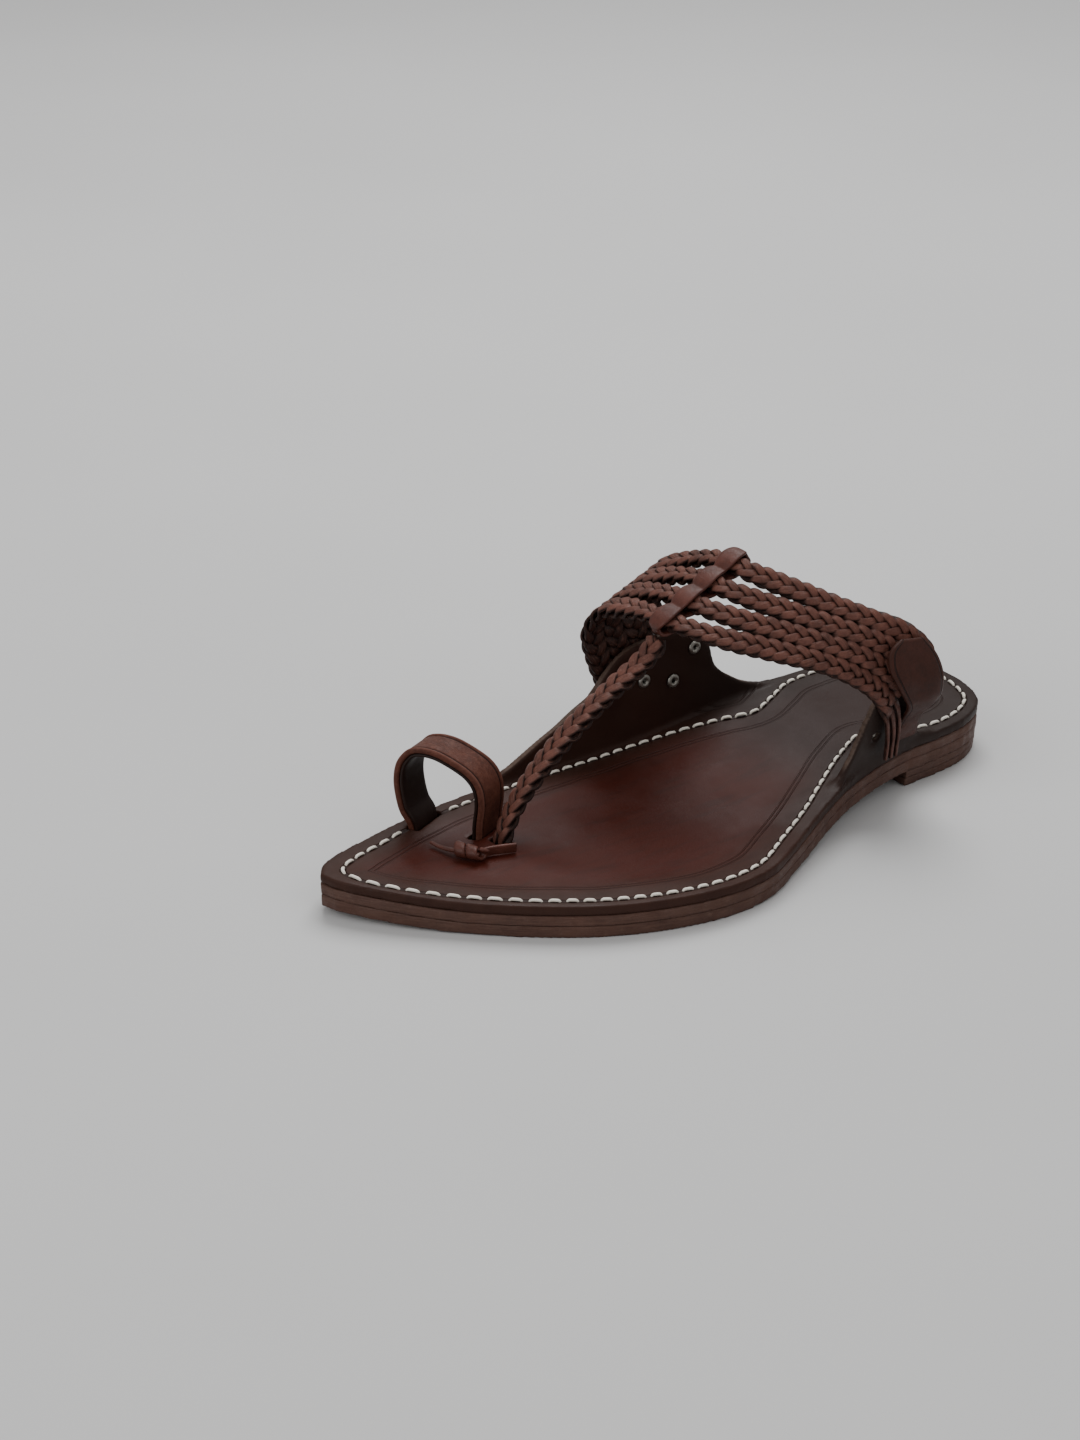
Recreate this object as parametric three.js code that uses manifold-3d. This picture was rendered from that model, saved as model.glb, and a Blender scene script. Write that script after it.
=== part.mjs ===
// Left sandal of a pair: a flat leather sole with a braided instep band, a braided T-strap and a toe loop.
// Millimetres. The toe points along -Y, the little-toe side is +X, the big-toe side is -X and +Z is up.
// The model is drawn around the middle of the sole and moved at the end, so that the origin of the part
// is the centre of its bounding box, at floor level.
import * as THREE from "three";
import { mergeVertices } from "three/addons/utils/BufferGeometryUtils.js";
import Module from "manifold-3d";

const wasm = await Module();
wasm.setup();

// ---- Driving dimensions ----
const GAP = 0.3; // clearance between two pieces that touch
const OUTSOLE_THICK = 4.2;
const MIDSOLE_THICK = 3.7;
const FOOTBED_THICK = 3.6;
const LAYER_INSET = 0.15; // each lower layer is skived back a little from the one above
const HEEL_RISE = 6.6; // height of the outsole's underside over the heel
const HEEL_PIECE_THICK = 3.1; // the two stacked pieces of the heel, each
const HEEL_BREAST_Y = 86; // front face of the heel
const TOE_SPRING = 3;
const TREAD_Y = [-98, -8]; // the sole lies flat on the floor between these
const WALL_THICK = 3; // leather of the side ears
const BRAID_WIDTH = 9.2;
const BRAID_THICK = 4;
const BRAID_LIFT = WALL_THICK / 2 + GAP + BRAID_THICK / 2; // braid centre from the middle of an ear
const BRAID_PINCH = 2.5; // loss of braid width at the wrap
const PINCH_REACH = [36, 25]; // how far the pinch reaches along x, lateral and medial
const WRAP_X = -18; // the lacing over the instep lies on this plane
const WRAP_WIDTH = 10;
const WRAP_WALL = 1.5;
const STRAP_WIDTH = [7, 9]; // T-strap at the toe and at the instep
const STRAP_THICK = 4.2;
const STRAP_CLEARANCE = 0.5;
const LOOP_BAND = 14; // width of the toe loop's leather, along the toe
const LOOP_SHELL = 1.8;
const LOOP_LINING = 1.3;
const LOOP_TURN = 0.66; // turn of the toe loop about the vertical, radians
const LOOP_SKEW = 0.26; // sideways run of the band for each millimetre towards the heel
const LOOP_CENTRE = [-37.9, -77.6];
const LOOP_SPAN = 32.6; // outer faces of its two legs
const LOOP_HEIGHT = 31.4; // above the footbed
const LOOP_DEPTH = 2.2; // how far each leg goes down into its slot
const LOOP_TUCK = [5.2, 1.3]; // how far the foot of each leg is drawn in from its widest point
const SLOT_DEPTH = 4.8;
const SLOT_CLEARANCE = 0.8; // lets the loop lean to and fro in its slots
const PATCH_THICK = 1.6;
const THREAD_RADIUS = 0.55;
const THONG_Y = -87; // the knot lies on the footbed here
const RIVET_FLANGE = 2.7;
const RIVET_BARREL = 1.4;
const RIVET_HOLE = 0.8;
const NAIL_RADIUS = 1.4;
const NAIL_RECESS = 0.4; // the nail heads sit this far above the floor
const NAIL_CENTRE = [-19, 108];
const NAIL_SPREAD = [24, 20];
const HALF_LENGTH = 145; // a little past each end of the sole
const HALF_WIDTH = 80;
const TALL = 60;

// Edge of the sole seen from above, from the tip of the toe along the little-toe side and back.
const OUTLINE = [
  [-28.5, -136.8], [-18, -132.5], [-4, -121.5], [10, -108], [28, -87.5], [42, -67], [51, -45],
  [55, -24], [53.2, -5], [44, 14.5], [34, 34], [26.5, 51], [21, 70], [17.5, 88], [16.5, 104],
  [13.5, 121], [5, 134.5], [-7, 140], [-20, 141.5], [-34, 138.5], [-46, 129.5], [-52.5, 115],
  [-54.5, 97], [-54.5, 75], [-54.2, 50], [-54.5, 20], [-54.5, -15], [-54, -48], [-52, -76],
  [-47.5, -101], [-41.5, -119], [-35, -131.5],
];
// Stitching line: it follows the edge and turns inwards along the foot of each ear.
const STITCH_LINE = [
  [-46.4, -72.8], [-48, -50.5], [-48.7, -15], [-48.2, 10], [-45.5, 30], [-41.5, 47], [-37.5, 60],
  [-42, 72], [-47.5, 84], [-49, 98], [-47.5, 112], [-41.5, 126], [-31, 134], [-20, 136], [-8, 134.6],
  [2, 130], [8.8, 119], [11, 104], [8, 92], [1.5, 80], [8, 64], [20, 44], [29.5, 29], [39.5, 10.5],
  [48.6, -7], [50.6, -24], [47.2, -44], [39, -64], [25.5, -84.5], [8, -104.5], [-5.5, -118],
  [-17, -126.8], [-26.3, -129], [-33.2, -119.6], [-39.8, -102.2], [-42.6, -94],
];

// Side view of each ear, as [y, z] along its upper edge from front to back.
const LATERAL_EAR = [
  [34, 14.6], [43, 15.8], [49, 18.6], [53.5, 23.5], [57, 30], [60, 38], [64, 46], [71, 51],
  [79, 51], [84, 46], [85.5, 38], [86.5, 30], [89.5, 24.5], [95, 20.6], [101, 19.6],
];
const MEDIAL_EAR = [
  [-54, 13.4], [-42, 17.6], [-29.5, 24], [-15, 31], [-4, 37], [1, 43], [8, 49], [20, 52], [34, 52],
  [44, 49.5], [49.5, 43], [51.5, 35.5], [55, 30.5], [60, 26.8], [66, 23], [76, 19.6], [86, 19],
];
const LATERAL_TOP_X = 25.5; // middle of the ear's leather at its top
const MEDIAL_TOP_X = -53.5;
const EAR_TOP_Z = 50;

// Centre lines of the front and back braids, from the little-toe side to the big-toe side.
const FRONT_BRAID = [
  [25.4, 71.5, 21], [27.2, 70.4, 33], [28.6, 67, 43.5], [28.8, 60, 52.7], [26.5, 51, 59.8],
  [22, 41.5, 65], [13, 27.5, 70], [1, 11.5, 75], [-10, 4.2, 77], [-18, 2.5, 77.2], [-27, 2, 76.6],
  [-41, 1, 74.2], [-52, -0.5, 69.5], [-57, -1.8, 60], [-57.6, 1, 49], [-57.4, 5.5, 37], [-57, 8, 25],
];
const BACK_BRAID = [
  [28.6, 85, 42.5], [29.4, 85.2, 49], [29.8, 84, 56], [29.8, 80.8, 63], [26.5, 73, 70.8],
  [20.5, 63, 76], [10, 51, 81.8], [-1, 40, 87.4], [-10, 32, 91.4], [-18, 31, 91.8], [-27, 30.4, 90.8],
  [-41, 27, 86], [-52, 23.5, 79.5], [-57.2, 23, 68], [-57.8, 27.5, 56], [-57.4, 33, 46], [-57.2, 36, 38],
];
const T_STRAP = [
  [-17.4, -69.6, 9.4], [-17.5, -68.4, 14.5], [-18, -62.8, 24], [-18.4, -55.5, 32], [-18.5, -46, 40.4],
  [-18.7, -34, 49], [-18.9, -20, 57], [-18.4, -9, 63.4], [-17.6, -4.2, 68.2], [-17.3, -2.7, 71.4],
];

const LEATHER = { footbed: 0x4f1f17, edge: 0x3d231b, braid: 0x5a332a, loop: 0x5c2c20, thong: 0x5e3628 };
const NICKEL = 0x9a948a;
const STEEL = 0x8d8a84;
const THREAD = 0xe8e0d2;

// ---- Small tools ----
const v3 = (p) => new THREE.Vector3(...p);
const mix = (a, b, t) => a + (b - a) * t;
const smooth = (t) => {
  const c = Math.min(Math.max(t, 0), 1);
  return c * c * (3 - 2 * c);
};

function curveThrough(points, closed = false) {
  return new THREE.CatmullRomCurve3(points.map((p) => v3([...p, 0, 0].slice(0, 3))), closed, "centripetal");
}

function solidOf(geometry) {
  const bare = geometry.clone();
  bare.deleteAttribute("normal");
  bare.deleteAttribute("uv");
  const merged = mergeVertices(bare, 1e-4);
  return new wasm.Manifold(
    new wasm.Mesh({
      numProp: 3,
      vertProperties: new Float32Array(merged.attributes.position.array),
      triVerts: new Uint32Array(merged.index.array),
    }),
  );
}

function geometryOf(solid) {
  const mesh = solid.getMesh();
  const geometry = new THREE.BufferGeometry();
  geometry.setAttribute("position", new THREE.BufferAttribute(new Float32Array(mesh.vertProperties), 3));
  geometry.setIndex(new THREE.BufferAttribute(new Uint32Array(mesh.triVerts), 1));
  geometry.computeVertexNormals();
  return geometry;
}

function cut(geometry, ...tools) {
  return geometryOf(tools.reduce((solid, tool) => solid.subtract(solidOf(tool)), solidOf(geometry)));
}

function join(geometry, ...others) {
  return geometryOf(others.reduce((solid, other) => solid.add(solidOf(other)), solidOf(geometry)));
}

function indexed(points, triangles) {
  const geometry = new THREE.BufferGeometry();
  geometry.setAttribute("position", new THREE.Float32BufferAttribute(points, 3));
  geometry.setIndex(triangles);
  geometry.computeVertexNormals();
  return geometry;
}

// Upright prism on a closed outline of [x, y] points.
function prism(points, zLow, zHigh) {
  const shape = new THREE.Shape(points.map(([x, y]) => new THREE.Vector2(x, y)));
  const geometry = new THREE.ExtrudeGeometry(shape, { depth: zHigh - zLow, bevelEnabled: false });
  return geometry.translate(0, 0, zLow);
}

// Prism across the sandal on a side view of [y, z] points.
function crossPrism(points, xLow, xHigh) {
  const turn = new THREE.Matrix4().set(0, 0, 1, 0, 1, 0, 0, 0, 0, 1, 0, 0, 0, 0, 0, 1);
  return prism(points, xLow, xHigh).applyMatrix4(turn);
}

// Flat strap along a curve: facing(t) is its outward side and size(t) gives its width and thickness.
function strap(curve, facing, size, { steps = 44, corners = 10, flat = 0.55 } = {}) {
  const points = [];
  const triangles = [];
  for (let i = 0; i <= steps; i++) {
    const t = i / steps;
    const along = curve.getTangentAt(t);
    const out = facing(t).clone().addScaledVector(along, -facing(t).dot(along)).normalize();
    const across = new THREE.Vector3().crossVectors(along, out);
    const [width, thick] = size(t);
    for (let k = 0; k < corners; k++) {
      const angle = (2 * Math.PI * (k + 0.5)) / corners;
      const a = Math.sign(Math.cos(angle)) * Math.abs(Math.cos(angle)) ** flat * (width / 2);
      const b = Math.sign(Math.sin(angle)) * Math.abs(Math.sin(angle)) ** flat * (thick / 2);
      points.push(...curve.getPointAt(t).addScaledVector(across, a).addScaledVector(out, b).toArray());
    }
  }
  for (let i = 0; i < steps; i++) {
    for (let k = 0; k < corners; k++) {
      const a = i * corners + k;
      const c = i * corners + ((k + 1) % corners);
      triangles.push(a, a + corners, c, c, a + corners, c + corners);
    }
  }
  const last = steps * corners;
  for (let k = 1; k < corners - 1; k++) {
    triangles.push(0, k, k + 1);
    triangles.push(last, last + k + 1, last + k);
  }
  return indexed(points, triangles);
}

// Sheet of leather standing across X: middle(y, z) is the x of its middle. It is ruled between two
// edges, each a function of t that gives a [y, z] vector, and going from the first to the second
// turns the same way round as going from +Y to +Z.
function wall(middle, thick, lower, upper, columns, rows) {
  const points = [];
  const triangles = [];
  const at = (side, i, j) => (side * (columns + 1) + i) * (rows + 1) + j;
  for (const side of [-1, 1]) {
    for (let i = 0; i <= columns; i++) {
      const start = lower(i / columns);
      const end = upper(i / columns);
      for (let j = 0; j <= rows; j++) {
        const { x: y, y: z } = start.clone().lerp(end, j / rows);
        points.push(middle(y, z) + (side * thick) / 2, y, z);
      }
    }
  }
  const quad = (a, b, c, d) => triangles.push(a, b, c, a, c, d);
  for (let i = 0; i < columns; i++) {
    for (let j = 0; j < rows; j++) {
      quad(at(1, i, j), at(1, i + 1, j), at(1, i + 1, j + 1), at(1, i, j + 1));
      quad(at(0, i, j), at(0, i, j + 1), at(0, i + 1, j + 1), at(0, i + 1, j));
    }
    quad(at(0, i, 0), at(0, i + 1, 0), at(1, i + 1, 0), at(1, i, 0));
    quad(at(0, i, rows), at(1, i, rows), at(1, i + 1, rows), at(0, i + 1, rows));
  }
  for (let j = 0; j < rows; j++) {
    quad(at(0, 0, j), at(1, 0, j), at(1, 0, j + 1), at(0, 0, j + 1));
    quad(at(0, columns, j), at(0, columns, j + 1), at(1, columns, j + 1), at(1, columns, j));
  }
  return indexed(points, triangles);
}

// ---- Sole ----
// Height of the outsole's underside along the sandal.
function underside(y) {
  const toe = TOE_SPRING * smooth((TREAD_Y[0] - y) / 42) ** 1.2;
  const heel = HEEL_RISE * smooth((y - TREAD_Y[1]) / (HEEL_BREAST_Y - TREAD_Y[1]));
  return toe + heel;
}

const soleHeight = OUTSOLE_THICK + MIDSOLE_THICK + FOOTBED_THICK + 2 * GAP;
const footbedTop = (y) => underside(y) + soleHeight;

function outline(inset, count = 96) {
  const edge = curveThrough(OUTLINE, true);
  return Array.from({ length: count }, (_, i) => {
    const t = i / count;
    const p = edge.getPointAt(t);
    const along = edge.getTangentAt(t);
    return [p.x - along.y * inset, p.y + along.x * inset];
  });
}

// One layer of the sole, between two heights above its underside.
function layer(low, high, inset) {
  const stations = Array.from({ length: 41 }, (_, i) => mix(-HALF_LENGTH, HALF_LENGTH, i / 40));
  const side = [
    ...stations.map((y) => [y, underside(y) + low]),
    ...stations.toReversed().map((y) => [y, underside(y) + high]),
  ];
  const band = solidOf(crossPrism(side, -HALF_WIDTH, HALF_WIDTH));
  return geometryOf(solidOf(prism(outline(inset), 0, TALL)).intersect(band));
}

function heelPiece(low, high, inset) {
  const back = outline(inset, 160).filter(([, y]) => y > HEEL_BREAST_Y);
  return cut(prism(back, low, high), ...nailSites().map(([x, y]) => nailHole(x, y)));
}

// Five nails on a horseshoe under the heel.
function nailSites() {
  return [-0.35, 0.5, Math.PI / 2, Math.PI - 0.5, Math.PI + 0.35].map((angle) => [
    NAIL_CENTRE[0] + NAIL_SPREAD[0] * Math.cos(angle),
    NAIL_CENTRE[1] + NAIL_SPREAD[1] * Math.sin(angle),
  ]);
}

function nailHole(x, y) {
  const hole = new THREE.CylinderGeometry(NAIL_RADIUS + GAP, NAIL_RADIUS + GAP, TALL, 12);
  return hole.rotateX(Math.PI / 2).translate(x, y, 0);
}

function heelNail(x, y) {
  const length = 2 * HEEL_PIECE_THICK - NAIL_RECESS;
  const nail = new THREE.CylinderGeometry(NAIL_RADIUS * 0.7, NAIL_RADIUS, length, 12);
  return nail.rotateX(Math.PI / 2).translate(x, y, NAIL_RECESS + length / 2);
}

// ---- Ears ----
const edgeX = (y) => 23 - 0.2 * (y - 60); // little-toe edge of the sole beside its ear
const earRise = (y, z) => smooth((z - footbedTop(y) + 2) / (EAR_TOP_Z - footbedTop(y) + 2));
const lateralX = (y, z) => mix(edgeX(y) - WALL_THICK / 2, LATERAL_TOP_X, earRise(y, z));
const medialX = (y, z) => mix(-54.2 + WALL_THICK / 2, MEDIAL_TOP_X, earRise(y, z));

function ear(middle, edge) {
  const top = curveThrough(edge);
  const foot = (t) => {
    const { x: y } = top.getPoint(t);
    return new THREE.Vector3(y, footbedTop(y) - FOOTBED_THICK + 0.4, 0);
  };
  return wall(middle, WALL_THICK, foot, (t) => top.getPoint(t), 30, 5);
}

const LATERAL_RIVETS = [[66, 30], [74, 37], [81, 30]];
const MEDIAL_RIVETS = [[18.5, 36], [32, 32.5], [42, 43.5]];

// Moves a piece made along Y so that it stands square to an ear, at the height and place given.
// inward is +1 where the foot is on the +X side of the ear, and -1 where it is on the other.
function squareToEar(geometry, middle, inward, [y, z]) {
  const step = 0.5;
  const alongY = (middle(y + step, z) - middle(y - step, z)) / (2 * step);
  const alongZ = (middle(y, z + step) - middle(y, z - step)) / (2 * step);
  const normal = v3([1, -alongY, -alongZ]).normalize().multiplyScalar(inward);
  const turn = new THREE.Quaternion().setFromUnitVectors(v3([0, 1, 0]), normal);
  return geometry.applyQuaternion(turn).translate(middle(y, z), y, z);
}

function rivetHole(middle, site) {
  const hole = new THREE.CylinderGeometry(RIVET_BARREL + GAP, RIVET_BARREL + GAP, 2 * WALL_THICK, 12);
  return squareToEar(hole, middle, 1, site);
}

// Tubular rivet: its flange shows on the inner face of the ear.
function rivet(middle, inward, site) {
  const face = WALL_THICK / 2 + GAP;
  const profile = [
    [RIVET_HOLE, -face + 0.6], [RIVET_BARREL, -face + 0.6], [RIVET_BARREL, face], [RIVET_FLANGE, face],
    [RIVET_FLANGE, face + 0.5], [RIVET_FLANGE - 0.5, face + 0.9], [RIVET_HOLE + 0.3, face + 0.9],
    [RIVET_HOLE, face + 0.6], [RIVET_HOLE, -face + 0.6],
  ].map(([r, h]) => new THREE.Vector2(r, h));
  return squareToEar(new THREE.LatheGeometry(profile, 12), middle, inward, site);
}

function footbed() {
  const plate = layer(soleHeight - FOOTBED_THICK, soleHeight, 0);
  const ears = [ear(lateralX, LATERAL_EAR), ear(medialX, MEDIAL_EAR)];
  const holes = [
    ...LATERAL_RIVETS.map((site) => rivetHole(lateralX, site)),
    ...MEDIAL_RIVETS.map((site) => rivetHole(medialX, site)),
    ...loopSlots(),
    strapSlot(),
  ];
  return cut(join(plate, ...ears), ...holes);
}

function midsole() {
  const plate = layer(OUTSOLE_THICK + GAP, OUTSOLE_THICK + GAP + MIDSOLE_THICK, LAYER_INSET);
  return cut(plate, ...loopSlots());
}

// ---- Stitching ----
function stitching() {
  const flat = curveThrough(STITCH_LINE);
  const onTop = flat.getSpacedPoints(150).map((p) => [p.x, p.y, footbedTop(p.y) + THREAD_RADIUS + GAP]);
  const line = curveThrough(onTop);
  const size = () => [2 * THREAD_RADIUS, 2 * THREAD_RADIUS];
  return strap(line, () => v3([0, 0, 1]), size, { steps: 120, corners: 5, flat: 1 });
}

// ---- Instep band ----
// share runs from 0 for the front braid to 1 for the back one.
function braidLine(share) {
  const points = FRONT_BRAID.map((p, i) => p.map((value, k) => mix(value, BACK_BRAID[i][k], share)));
  return curveThrough(points);
}

// The braids are narrower where they are pressed together, towards the ears, and where the wrap
// pinches them.
function braidWidth(t) {
  const front = braidLine(0);
  const across = braidLine(1).getPointAt(t).sub(front.getPointAt(t));
  const along = front.getTangentAt(t);
  const spacing = across.addScaledVector(along, -across.dot(along)).length() / 3;
  const off = front.getPointAt(t).x - WRAP_X;
  const pinch = BRAID_PINCH * smooth(1.4 - 1.4 * Math.abs(off) / PINCH_REACH[off > 0 ? 0 : 1]);
  return Math.min(BRAID_WIDTH, spacing - GAP) - pinch;
}

// A braid whose centre line runs from start to end of its route.
function braid(share, start, end) {
  const route = braidLine(share);
  const front = braidLine(0);
  const back = braidLine(1);
  const line = curveThrough(
    Array.from({ length: 31 }, (_, i) => route.getPointAt(mix(start, end, i / 30)).toArray()),
  );
  const facing = (t) => {
    const at = mix(start, end, t);
    const across = back.getPointAt(at).sub(front.getPointAt(at));
    return across.cross(route.getTangentAt(at));
  };
  const size = (t) => [braidWidth(mix(start, end, t)), BRAID_THICK];
  return strap(line, facing, size, { steps: 34, corners: 8 });
}

// Flat ring of leather round the four braids, in the plane x = WRAP_X.
function wrap() {
  const front = v3([0, ...FRONT_BRAID[9].slice(1)]);
  const back = v3([0, ...BACK_BRAID[9].slice(1)]);
  const half = front.distanceTo(back) / 2 + BRAID_WIDTH / 2 + 1;
  const oval = (grow) => {
    const deep = BRAID_THICK / 2 + 0.9 + grow;
    const shape = new THREE.Path();
    shape.moveTo(-half + deep, -deep);
    shape.lineTo(half - deep, -deep);
    shape.absarc(half - deep + grow, 0, deep, -Math.PI / 2, Math.PI / 2);
    shape.lineTo(-half + deep, deep);
    shape.absarc(-half + deep - grow, 0, deep, Math.PI / 2, (3 * Math.PI) / 2);
    return shape.getPoints(8);
  };
  const shape = new THREE.Shape(oval(WRAP_WALL));
  shape.holes.push(new THREE.Path(oval(0)));
  const ring = new THREE.ExtrudeGeometry(shape, { depth: WRAP_WIDTH, bevelEnabled: false });
  const turn = new THREE.Matrix4().set(0, 0, 1, 0, 1, 0, 0, 0, 0, 1, 0, 0, 0, 0, 0, 1);
  const slope = Math.atan2(back.z - front.z, back.y - front.y);
  const middle = front.add(back).multiplyScalar(0.5);
  ring.translate(0, 0, -WRAP_WIDTH / 2).applyMatrix4(turn).rotateX(slope);
  return ring.translate(WRAP_X, middle.y, middle.z);
}

// Smooth outer patches over the ends of the braids.
const PATCH_LIFT = BRAID_LIFT + BRAID_THICK / 2 + GAP + PATCH_THICK / 2;

const LATERAL_PATCH = {
  front: [
    [76.5, 23.5], [75.8, 33], [72.5, 42], [68, 49], [64.5, 55], [62.3, 61], [63.5, 67], [68.5, 70.5],
  ],
  back: [[88.5, 23.5], [86.4, 31], [85, 38], [85.4, 46], [85.6, 55], [83.6, 62.5], [78.5, 68.9]],
};
const MEDIAL_PATCH = {
  front: [[13, 19], [12.8, 26], [12.6, 33], [12.8, 41], [15, 48], [21, 52]],
  back: [[55, 19], [52, 26], [50, 34], [48.5, 42], [45, 48.5], [38, 52.5]],
};

function patch({ front, back }, middle) {
  const [frontEdge, backEdge] = [curveThrough(front), curveThrough(back)];
  return wall(middle, PATCH_THICK, (t) => backEdge.getPoint(t), (t) => frontEdge.getPoint(t), 16, 6);
}

function lateralPatch() {
  const bulge = (y, z) => 2.7 + PATCH_LIFT * smooth((z - 31) / 17) + 0.8 * smooth((y - 76) / 12);
  return patch(LATERAL_PATCH, (y, z) => lateralX(y, Math.min(z, EAR_TOP_Z)) + bulge(y, z));
}

function medialPatch() {
  return patch(MEDIAL_PATCH, (y, z) => medialX(y, z) - 2.6 - PATCH_LIFT * smooth((z - 19) / 16));
}

// ---- T-strap, thong and knot ----
function tStrap() {
  const line = curveThrough(T_STRAP);
  const facing = (t) => v3([0, -1, 0.2]).cross(line.getTangentAt(t)).cross(line.getTangentAt(t)).negate();
  const size = (t) => [mix(...STRAP_WIDTH, smooth(t * 2.2)), STRAP_THICK];
  return strap(line, facing, size, { steps: 26, corners: 8 });
}

function strapSlot() {
  const [x, y] = T_STRAP[0];
  const [wide, long] = [STRAP_WIDTH[0] + 2 * STRAP_CLEARANCE, STRAP_THICK + 3 * STRAP_CLEARANCE];
  return new THREE.BoxGeometry(wide, long, 2 * SLOT_DEPTH).translate(x, y, footbedTop(y));
}

// ---- Toe loop ----
// Outer face of the loop seen from the toe, as [across, up] from the foot of one leg to the other.
function loopProfile() {
  const half = LOOP_SPAN / 2;
  const top = LOOP_HEIGHT;
  return [
    [-half + LOOP_TUCK[0], -LOOP_DEPTH], [-half + 4.4, 1.5], [-half + 2.1, 5.5], [-half + 0.6, 11.5],
    [-half, 18.2], [-half + 1, top - 7.2], [-half + 3.2, top - 3.4], [-half + 6, top - 0.9],
    [-half + 10.2, top], [-half + 14, top - 0.3], [half - 15.1, top - 1.3], [half - 7.9, top - 4.9],
    [half - 4.3, top - 7.5], [half - 1.8, top - 10.7], [half - 0.4, top - 14.4], [half, 11.2],
    [half - 0.7, 5], [half - LOOP_TUCK[1], -LOOP_DEPTH],
  ];
}

// Line that runs at one depth inside the loop's outer face.
function loopLine(depth) {
  const face = curveThrough(loopProfile().map(([x, z]) => [x, 0, z]));
  return curveThrough(
    Array.from({ length: 29 }, (_, i) => {
      const along = face.getTangentAt(i / 28);
      return face.getPointAt(i / 28).add(v3([along.z * depth, 0, -along.x * depth])).toArray();
    }),
  );
}

function loopLayer(depth, thick, width) {
  const line = loopLine(depth);
  const facing = (t) => {
    const along = line.getTangentAt(t);
    return v3([-along.z, 0, along.x]);
  };
  return strap(line, facing, () => [width, thick], { steps: 30, corners: 8, flat: 0.35 });
}

function placeLoop(geometry) {
  const skew = new THREE.Matrix4().set(1, LOOP_SKEW, 0, 0, 0, 1, 0, 0, 0, 0, 1, 0, 0, 0, 0, 1);
  geometry.applyMatrix4(skew).rotateZ(LOOP_TURN);
  return geometry.translate(...LOOP_CENTRE, footbedTop(LOOP_CENTRE[1]));
}

function loopSlots() {
  const thick = LOOP_SHELL + LOOP_LINING + GAP;
  const feet = [LOOP_TUCK[0] + thick / 2 - LOOP_SPAN / 2, LOOP_SPAN / 2 - LOOP_TUCK[1] - thick / 2];
  return feet.map((x) => {
    const [wide, long] = [thick + 2 * SLOT_CLEARANCE, LOOP_BAND + 2 * SLOT_CLEARANCE];
    return placeLoop(new THREE.BoxGeometry(wide, long, 2 * SLOT_DEPTH).translate(x, 0, 0));
  });
}

// End of the thong, standing on its edge behind the knot.
function thongStrip() {
  const z = footbedTop(THONG_Y) + 1;
  const line = curveThrough([
    [-11.2, -82.4, z + 0.8], [-10.4, -79, z + 1], [-9, -74.6, z + 0.9], [-7.4, -70.4, z + 0.8],
  ]);
  return strap(line, () => v3([0, 0, 1]), () => [1.3, 3.2], { steps: 16, corners: 8, flat: 0.5 });
}

// Knot of two lobes with one free tail, lying on the footbed in front of the T-strap.
function thongKnot() {
  const z = footbedTop(THONG_Y) + GAP;
  const lobe = (x, y, rx, ry, rz, turn) => {
    const ball = new THREE.SphereGeometry(1, 14, 10).scale(rx, ry, rz).rotateZ(turn);
    return ball.translate(x, y, z + rz);
  };
  const line = curveThrough([
    [-15, -87.8, z + 1.6], [-19.5, -89.4, z + 1.3], [-24, -90.4, z + 1], [-28, -91, z + 1],
  ]);
  const size = (t) => [mix(2.6, 1.5, t), mix(1.8, 1, t)];
  const tail = strap(line, () => v3([0, 0, 1]), size, { steps: 12, corners: 8 });
  return join(lobe(-15.4, -87.9, 3.7, 2.9, 2.5, 0.4), lobe(-10.8, -86, 3.5, 2.7, 2.2, 0.9), tail);
}

// ---- Assembly ----
const sandal = new THREE.Group();

function add(name, geometry, color, roughness = 0.55, metalness = 0) {
  const mesh = new THREE.Mesh(geometry, new THREE.MeshStandardMaterial({ color, roughness, metalness }));
  mesh.name = name;
  sandal.add(mesh);
}

add("heel_top_piece", heelPiece(0, HEEL_PIECE_THICK, 1), LEATHER.edge, 0.8);
add("heel_lift", heelPiece(HEEL_PIECE_THICK + GAP, HEEL_RISE - GAP, 0.7), LEATHER.edge, 0.7);
nailSites().forEach(([x, y], i) => add(`heel_nail_${i + 1}`, heelNail(x, y), STEEL, 0.4, 1));
add("outsole", layer(0, OUTSOLE_THICK, 2 * LAYER_INSET), LEATHER.edge, 0.8);
add("midsole", midsole(), LEATHER.edge, 0.7);
add("footbed", footbed(), LEATHER.footbed, 0.4);
add("edge_stitching", stitching(), THREAD, 0.7);
[["front", 0, 1], ["second", 0.11, 0.94], ["third", 0.1, 0.97], ["back", 0.09, 1]].forEach(
  ([name, start, end], i) => add(`instep_braid_${name}`, braid(i / 3, start, end), LEATHER.braid, 0.5),
);
add("instep_wrap", wrap(), LEATHER.thong, 0.5);
add("lateral_patch", lateralPatch(), LEATHER.thong, 0.5);
add("medial_patch", medialPatch(), LEATHER.thong, 0.5);
LATERAL_RIVETS.forEach((site, i) => add(`lateral_rivet_${i + 1}`, rivet(lateralX, -1, site), NICKEL, 0.4, 1));
MEDIAL_RIVETS.forEach((site, i) => add(`medial_rivet_${i + 1}`, rivet(medialX, 1, site), NICKEL, 0.4, 1));
add("t_strap_braid", tStrap(), LEATHER.braid, 0.5);
add("thong_strip", thongStrip(), LEATHER.thong, 0.5);
add("thong_knot", thongKnot(), LEATHER.thong, 0.5);
const liningDepth = LOOP_SHELL + GAP + LOOP_LINING / 2;
add("toe_loop_band", placeLoop(loopLayer(LOOP_SHELL / 2, LOOP_SHELL, LOOP_BAND)), LEATHER.loop, 0.6);
add("toe_loop_lining", placeLoop(loopLayer(liningDepth, LOOP_LINING, LOOP_BAND - 0.6)), LEATHER.loop, 0.5);

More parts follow.
